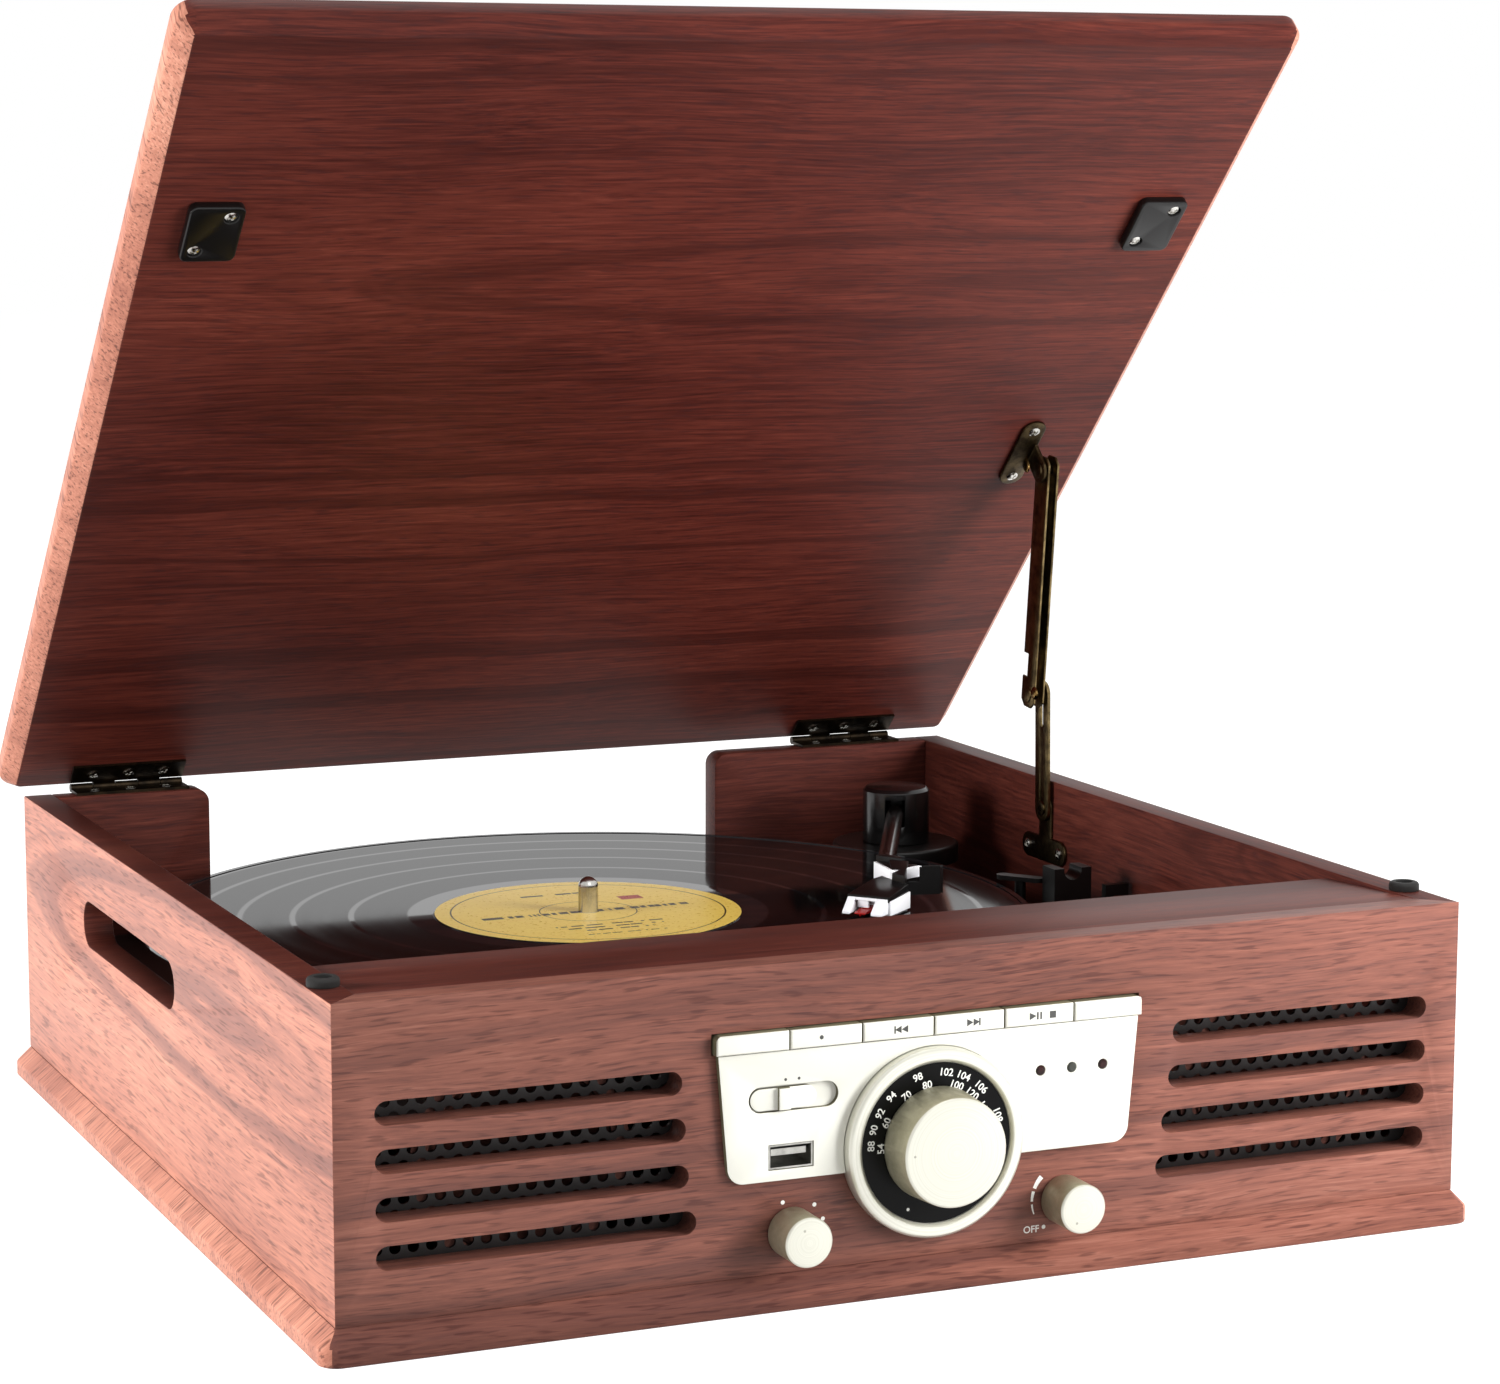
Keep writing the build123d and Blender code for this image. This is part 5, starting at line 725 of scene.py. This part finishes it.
def set_sign(shape, corners, width, height, x, z, y, turn=0.0, lean=0.0):
    """Printed plate with a number of corners: the shape is turned, stretched to size and leant; mm."""
    turned_by = math.radians(turn)
    ring = [math.radians(360.0 * k / corners) + turned_by for k in range(corners)]
    wide = max(math.sin(a) for a in ring) - min(math.sin(a) for a in ring)
    high = max(math.cos(a) for a in ring) - min(math.cos(a) for a in ring)
    bmesh.ops.create_cone(
        shape, cap_ends=True, cap_tris=False, segments=corners, radius1=1.0, radius2=1.0, depth=2.0, matrix=(
            Matrix.Translation((x * MM, y * MM, z * MM)) @ Matrix.Rotation(math.pi / 2, 4, "X")
            @ Matrix.Rotation(math.radians(-lean), 4, "Z")
            @ Matrix.Diagonal(
                (width * MM / wide, height * MM / high, INK, 1.0),
            ) @ Matrix.Rotation(-turned_by, 4, "Z")
        ),
    )


def front_of(node):
    """How far forward a node reaches, in mm."""
    return min(v.co.y for v in nodes[node].data.vertices) / MM


FM_MARKS = ((88, -87), (90, -74), (92, -60), (94, -44), (98, -17), (102, 9), (104, 25), (106, 44), (108, 73))
AM_MARKS = ((54, -90), (60, -65), (70, -33), (80, -10), (100, 22), (120, 41), (160, 61))
shape = bmesh.new()
for radius, marks in ((21.0, FM_MARKS), (17.8, AM_MARKS)):
    for figure, angle in marks:
        turn = math.radians(angle)
        set_text(
            shape, str(figure), 2.3, radius * math.sin(turn), DIAL_Z / MM + radius * math.cos(turn),
            DIAL_FACE / MM, angle,
        )
set_sign(shape, 12, 1.0, 1.0, 21.0 * math.sin(-2.7), DIAL_Z / MM + 21.0 * math.cos(-2.7), DIAL_FACE / MM)
finish_piece("dial_figures", shape, [ink_white], "case", "white_plastic")

shape = bmesh.new()
for x, z in ((-46.7, 30.9), (-36.7, 29.2), (-34.0, 24.7), (38.0, 14.1)):
    set_sign(shape, 12, 1.3, 1.3, x, z, FRONT / MM)
set_text(shape, "OFF", 2.2, 33.9, 13.8, FRONT / MM)
for step in range(12):
    angle = 137.0 + 5.6 * step
    if step not in (4, 8):
        around = math.radians(angle)
        x = KNOB_X / MM + 10.2 * math.cos(around)
        z = KNOB_Z / MM + 10.2 * math.sin(around)
        set_sign(shape, 4, 1.5 - 0.1 * step, 1.1, x, z, FRONT / MM, turn=45.0, lean=180.0 - angle)
finish_piece("panel_marks", shape, [ink_white], "case", "white_plastic")

shape = bmesh.new()
for x in (-46.8, -42.6):
    set_sign(shape, 12, 0.9, 0.9, x, SWITCH_MARK_Z, FASCIA / MM)
finish_piece("fascia_marks", shape, [ink_grey], "case", "black_plastic")

# each sign: corners, width, height, x, turn
for key, signs in (
    (2, ((12, 1.3, 1.3, -36.0, 0.0),)),
    (3, ((4, 0.5, 2.2, -12.75, 45.0), (3, 2.1, 2.2, -11.35, -90.0), (3, 2.1, 2.2, -9.25, -90.0))),
    (4, ((3, 2.1, 2.2, 11.15, 90.0), (3, 2.1, 2.2, 13.25, 90.0), (4, 0.5, 2.2, 14.6, 45.0))),
    (5, ((3, 2.3, 2.2, 31.7, 90.0), (4, 0.6, 2.2, 33.6, 45.0), (4, 0.6, 2.2, 34.7, 45.0),
         (4, 2.1, 2.1, 38.6, 45.0))),
):
    shape = bmesh.new()
    for corners, width, height, x, turn in signs:
        set_sign(shape, corners, width, height, x, BUTTON_MARK_Z, BUTTON_FACE / MM, turn)
    finish_piece(f"button_{key}_mark", shape, [ink_grey], f"button_{key}", "black_plastic")

for body, x, z in (("selector", -45.8, 25.8), ("volume", 41.9, 18.2), ("tuning", -13.3, 45.2)):
    shape = bmesh.new()
    set_sign(shape, 12, 0.8, 0.8, x, z, front_of(body + "_knob"))
    finish_piece(body + "_mark", shape, [ink_pale], body, "black_plastic")

# ---------------------------------------------------------------- pickup head
# the head's own frame: x along the arm's way forward, y to its right hand seen from the front; mm
HEAD = Matrix.Diagonal((MM, MM, MM, 1.0)) @ Matrix.Translation((72.4, 2.1, 0.0)) @ Matrix((
    (-0.7660, 0.6428, 0.0, 0.0), (-0.6428, -0.7660, 0.0, 0.0), (0.0, 0.0, 1.0, 0.0), (0.0, 0.0, 0.0, 1.0),
))


def set_block(shape, plan, low, high, ease=0.25):
    """Upright block over a plan, in the head's frame, whose corners run anticlockwise seen from above, so
    that its faces point outwards; low and high hold the height at each corner."""
    count = len(plan)
    made = bmesh.ops.create_cone(
        shape, cap_ends=True, cap_tris=False, segments=count, radius1=1.0, radius2=1.0, depth=2.0,
    )
    for vert in made["verts"]:
        corner = round(-math.atan2(vert.co.x, vert.co.y) * count / math.tau) % count
        height = (high if vert.co.z > 0.0 else low)[corner]
        vert.co = HEAD @ Vector((*plan[corner], height))
    edges = once(e for v in made["verts"] for e in v.link_edges)
    bmesh.ops.bevel(shape, geom=edges, offset=ease * MM, segments=2, profile=0.5, material=-1, affect="EDGES",
                    clamp_overlap=True)


def blocks(name, material, slot, parts, replaced=(), ease=0.25):
    """One piece of several blocks, each with its plan, low heights and high heights."""
    shape = bmesh.new()
    for plan, low, high in parts:
        set_block(shape, plan, low, high, ease)
    finish_piece(name, shape, [material], "arm", slot, *replaced, sharp=SHARP)


blocks("head_body", black, "black_plastic", (
    # collar, roof, front deck and finger lift
    (((-18.8, -9.6), (-15.6, -10.2), (-14.0, 0.8), (-18.2, -2.6)), (81.4,) * 4, (88.5,) * 4),
    (((-14.0, -9.0), (-3.4, 2.4), (-3.4, 3.0), (-13.6, 6.6)), (80.0,) * 4, (86.9, 86.3, 86.3, 86.9)),
    (((-13.2, -4.0), (-1.2, 2.6), (0.4, 8.0), (-13.0, 3.4)), (80.0,) * 4, (88.0, 85.6, 85.6, 88.0)),
    (((-12.0, -9.8), (15.4, -6.4), (15.4, 9.0), (-1.0, 9.0), (-2.4, 1.8), (-8.3, -4.4)), (78.8,) * 6,
     (80.8, 80.7, 80.7, 82.6, 83.4, 83.2)),
    (((-1.0, 8.0), (-4.0, 12.0), (-6.4, 12.0), (-3.4, 8.0)), (78.9,) * 4, (82.8,) * 4),
    (((-3.9, 11.8), (-8.0, 17.2), (-10.4, 17.2), (-6.3, 11.8)), (78.9,) * 4, (88.0,) * 4),
), replaced=("headshell",))
blocks("head_clip", white, "white_plastic", (
    # the two arms of the V, the tab between the legs and the foot of the side plate
    (((-14.0, -10.2), (-1.9, 2.3), (-2.7, 3.1), (-14.8, -9.3)), (80.4, 83.0, 83.0, 80.4),
     (86.5, 86.2, 86.2, 86.5)),
    (((-1.9, 2.4), (-12.8, 8.3), (-13.3, 7.3), (-2.6, 1.5)), (82.6, 83.4, 83.4, 82.6),
     (86.2, 86.6, 86.6, 86.2)),
    (((14.6, -2.6), (15.4, -2.6), (15.4, 1.4), (14.6, 1.4)), (76.5,) * 4, (79.3,) * 4),
    (((-1.4, 7.4), (15.0, 7.4), (15.0, 9.4), (-1.4, 9.4)), (74.3,) * 4, (80.0, 79.2, 79.2, 80.0)),
), ease=0.15)
shape = bmesh.new()
shape.from_mesh(nodes["tonearm_tube"].data)
bmesh.ops.remove_doubles(shape, verts=shape.verts, dist=SAME_POINT)
cut = bmesh.ops.bisect_plane(
    shape, geom=list(shape.verts) + list(shape.edges) + list(shape.faces), dist=1e-7, clear_outer=True,
    plane_co=HEAD @ Vector((-15.4, -7.0, 84.5)), plane_no=HEAD.to_3x3() @ Vector((1.0, 0.0, 0.0)),
)
bmesh.ops.holes_fill(shape, edges=[g for g in cut["geom_cut"] if isinstance(g, bmesh.types.BMEdge)])
finish_piece("arm_tube_in_head", shape, [arm_metal], "arm", "arm_metal", "tonearm_tube")
eased("cartridge", 0.2 * MM, white, "arm", "white_plastic")
eased("stylus", 0.1 * MM, red, "arm", "red_plastic")

# ---------------------------------------------------------------- floor, light and camera
def seen_or_mirrored(tree):
    """1 for rays from the camera, a mirroring surface or glass, 0 for the rays that light the object."""
    path = add(tree, "ShaderNodeLightPath").outputs
    direct = add(
        tree, "ShaderNodeMath", {0: path["Is Camera Ray"], 1: path["Is Glossy Ray"]}, operation="MAXIMUM",
    )
    both = {0: direct.outputs[0], 1: path["Is Transmission Ray"]}
    return add(tree, "ShaderNodeMath", both, operation="MAXIMUM").outputs[0]


floor_shape = bmesh.new()
bmesh.ops.create_grid(floor_shape, x_segments=1, y_segments=1, size=6.0)
floor_mesh = bpy.data.meshes.new("floor")
floor_shape.to_mesh(floor_mesh)
floor_shape.free()
floor = bpy.data.objects.new("floor", floor_mesh)
bpy.context.scene.collection.objects.link(floor)
floor_paint = new_material("white_paper_sweep")
tree = floor_paint.node_tree
seen = seen_or_mirrored(tree)
matt = add(tree, "ShaderNodeBsdfDiffuse", {"Color": linear("#a4a4a4")})
dull = add(tree, "ShaderNodeBsdfDiffuse", {"Color": linear("#a8a8a8")})
glow = add(tree, "ShaderNodeEmission", {"Color": linear("#ffffff"), "Strength": 0.90})
lifted = add(tree, "ShaderNodeAddShader", {0: matt.outputs[0], 1: glow.outputs[0]})
paper = add(tree, "ShaderNodeMixShader", {0: seen, 1: dull.outputs[0], 2: lifted.outputs[0]})
add(tree, "ShaderNodeOutputMaterial", {"Surface": paper.outputs[0]})
floor_mesh.materials.append(floor_paint)

world = bpy.data.worlds.new("studio")
bpy.context.scene.world = world
world.use_nodes = True
world.node_tree.nodes.clear()
tree = world.node_tree
seen = seen_or_mirrored(tree)
strength = add(tree, "ShaderNodeMix", {"Factor": seen, "A": 0.27, "B": 1.0}, data_type="FLOAT")
sky = add(tree, "ShaderNodeBackground", {"Color": linear("#ffffff"), "Strength": strength.outputs[0]})
add(tree, "ShaderNodeOutputWorld", {"Surface": sky.outputs[0]})


def softbox(name, place, aim, size, power, mirrored=True):
    """Square area lamp that points from one place to another. The near lamps aren't mirrored, so that they
    don't stand on the lid and the record as white patches."""
    lamp = bpy.data.lights.new(name, "AREA")
    lamp.size = size
    lamp.energy = power
    holder = bpy.data.objects.new(name, lamp)
    holder.location = place
    holder.rotation_euler = (Vector(aim) - Vector(place)).to_track_quat("-Z", "Y").to_euler()
    holder.visible_glossy = mirrored
    bpy.context.scene.collection.objects.link(holder)


softbox("softbox_left", (-1.6, 0.1, 0.4), (-0.15, 0.0, 0.08), 0.7, 42.0, mirrored=False)
softbox("softbox_right", (0.62, -0.62, 0.36), (0.1, -0.15, 0.1), 0.4, 10.0, mirrored=False)
softbox("softbox_low", (0.56, -0.76, 0.14), (0.1, -0.18, 0.05), 0.3, 3.0, mirrored=False)
softbox("softbox_front", (-0.1, -1.7, 1.2), (0.0, 0.0, 0.1), 1.2, 5.0)
softbox("softbox_top", (0.2, 0.5, 1.9), (0.0, 0.0, 0.1), 1.2, 12.0)

camera = bpy.data.cameras.new("camera")
camera.sensor_width = 36.0
camera.lens = 92.86
camera.shift_x = 0.00023
camera.shift_y = 0.00192
camera.clip_end = 50.0
view = bpy.data.objects.new("camera", camera)
view.location = (-0.48696, -1.16573, 0.33454)
look = Vector((0.39572, 0.90709, -0.14349)).to_track_quat("-Z", "Y").to_matrix()
view.rotation_euler = (look @ Matrix.Rotation(math.radians(0.114), 3, "Z")).to_euler()
bpy.context.scene.collection.objects.link(view)
bpy.context.scene.camera = view
bpy.context.scene.view_settings.view_transform = "Standard"
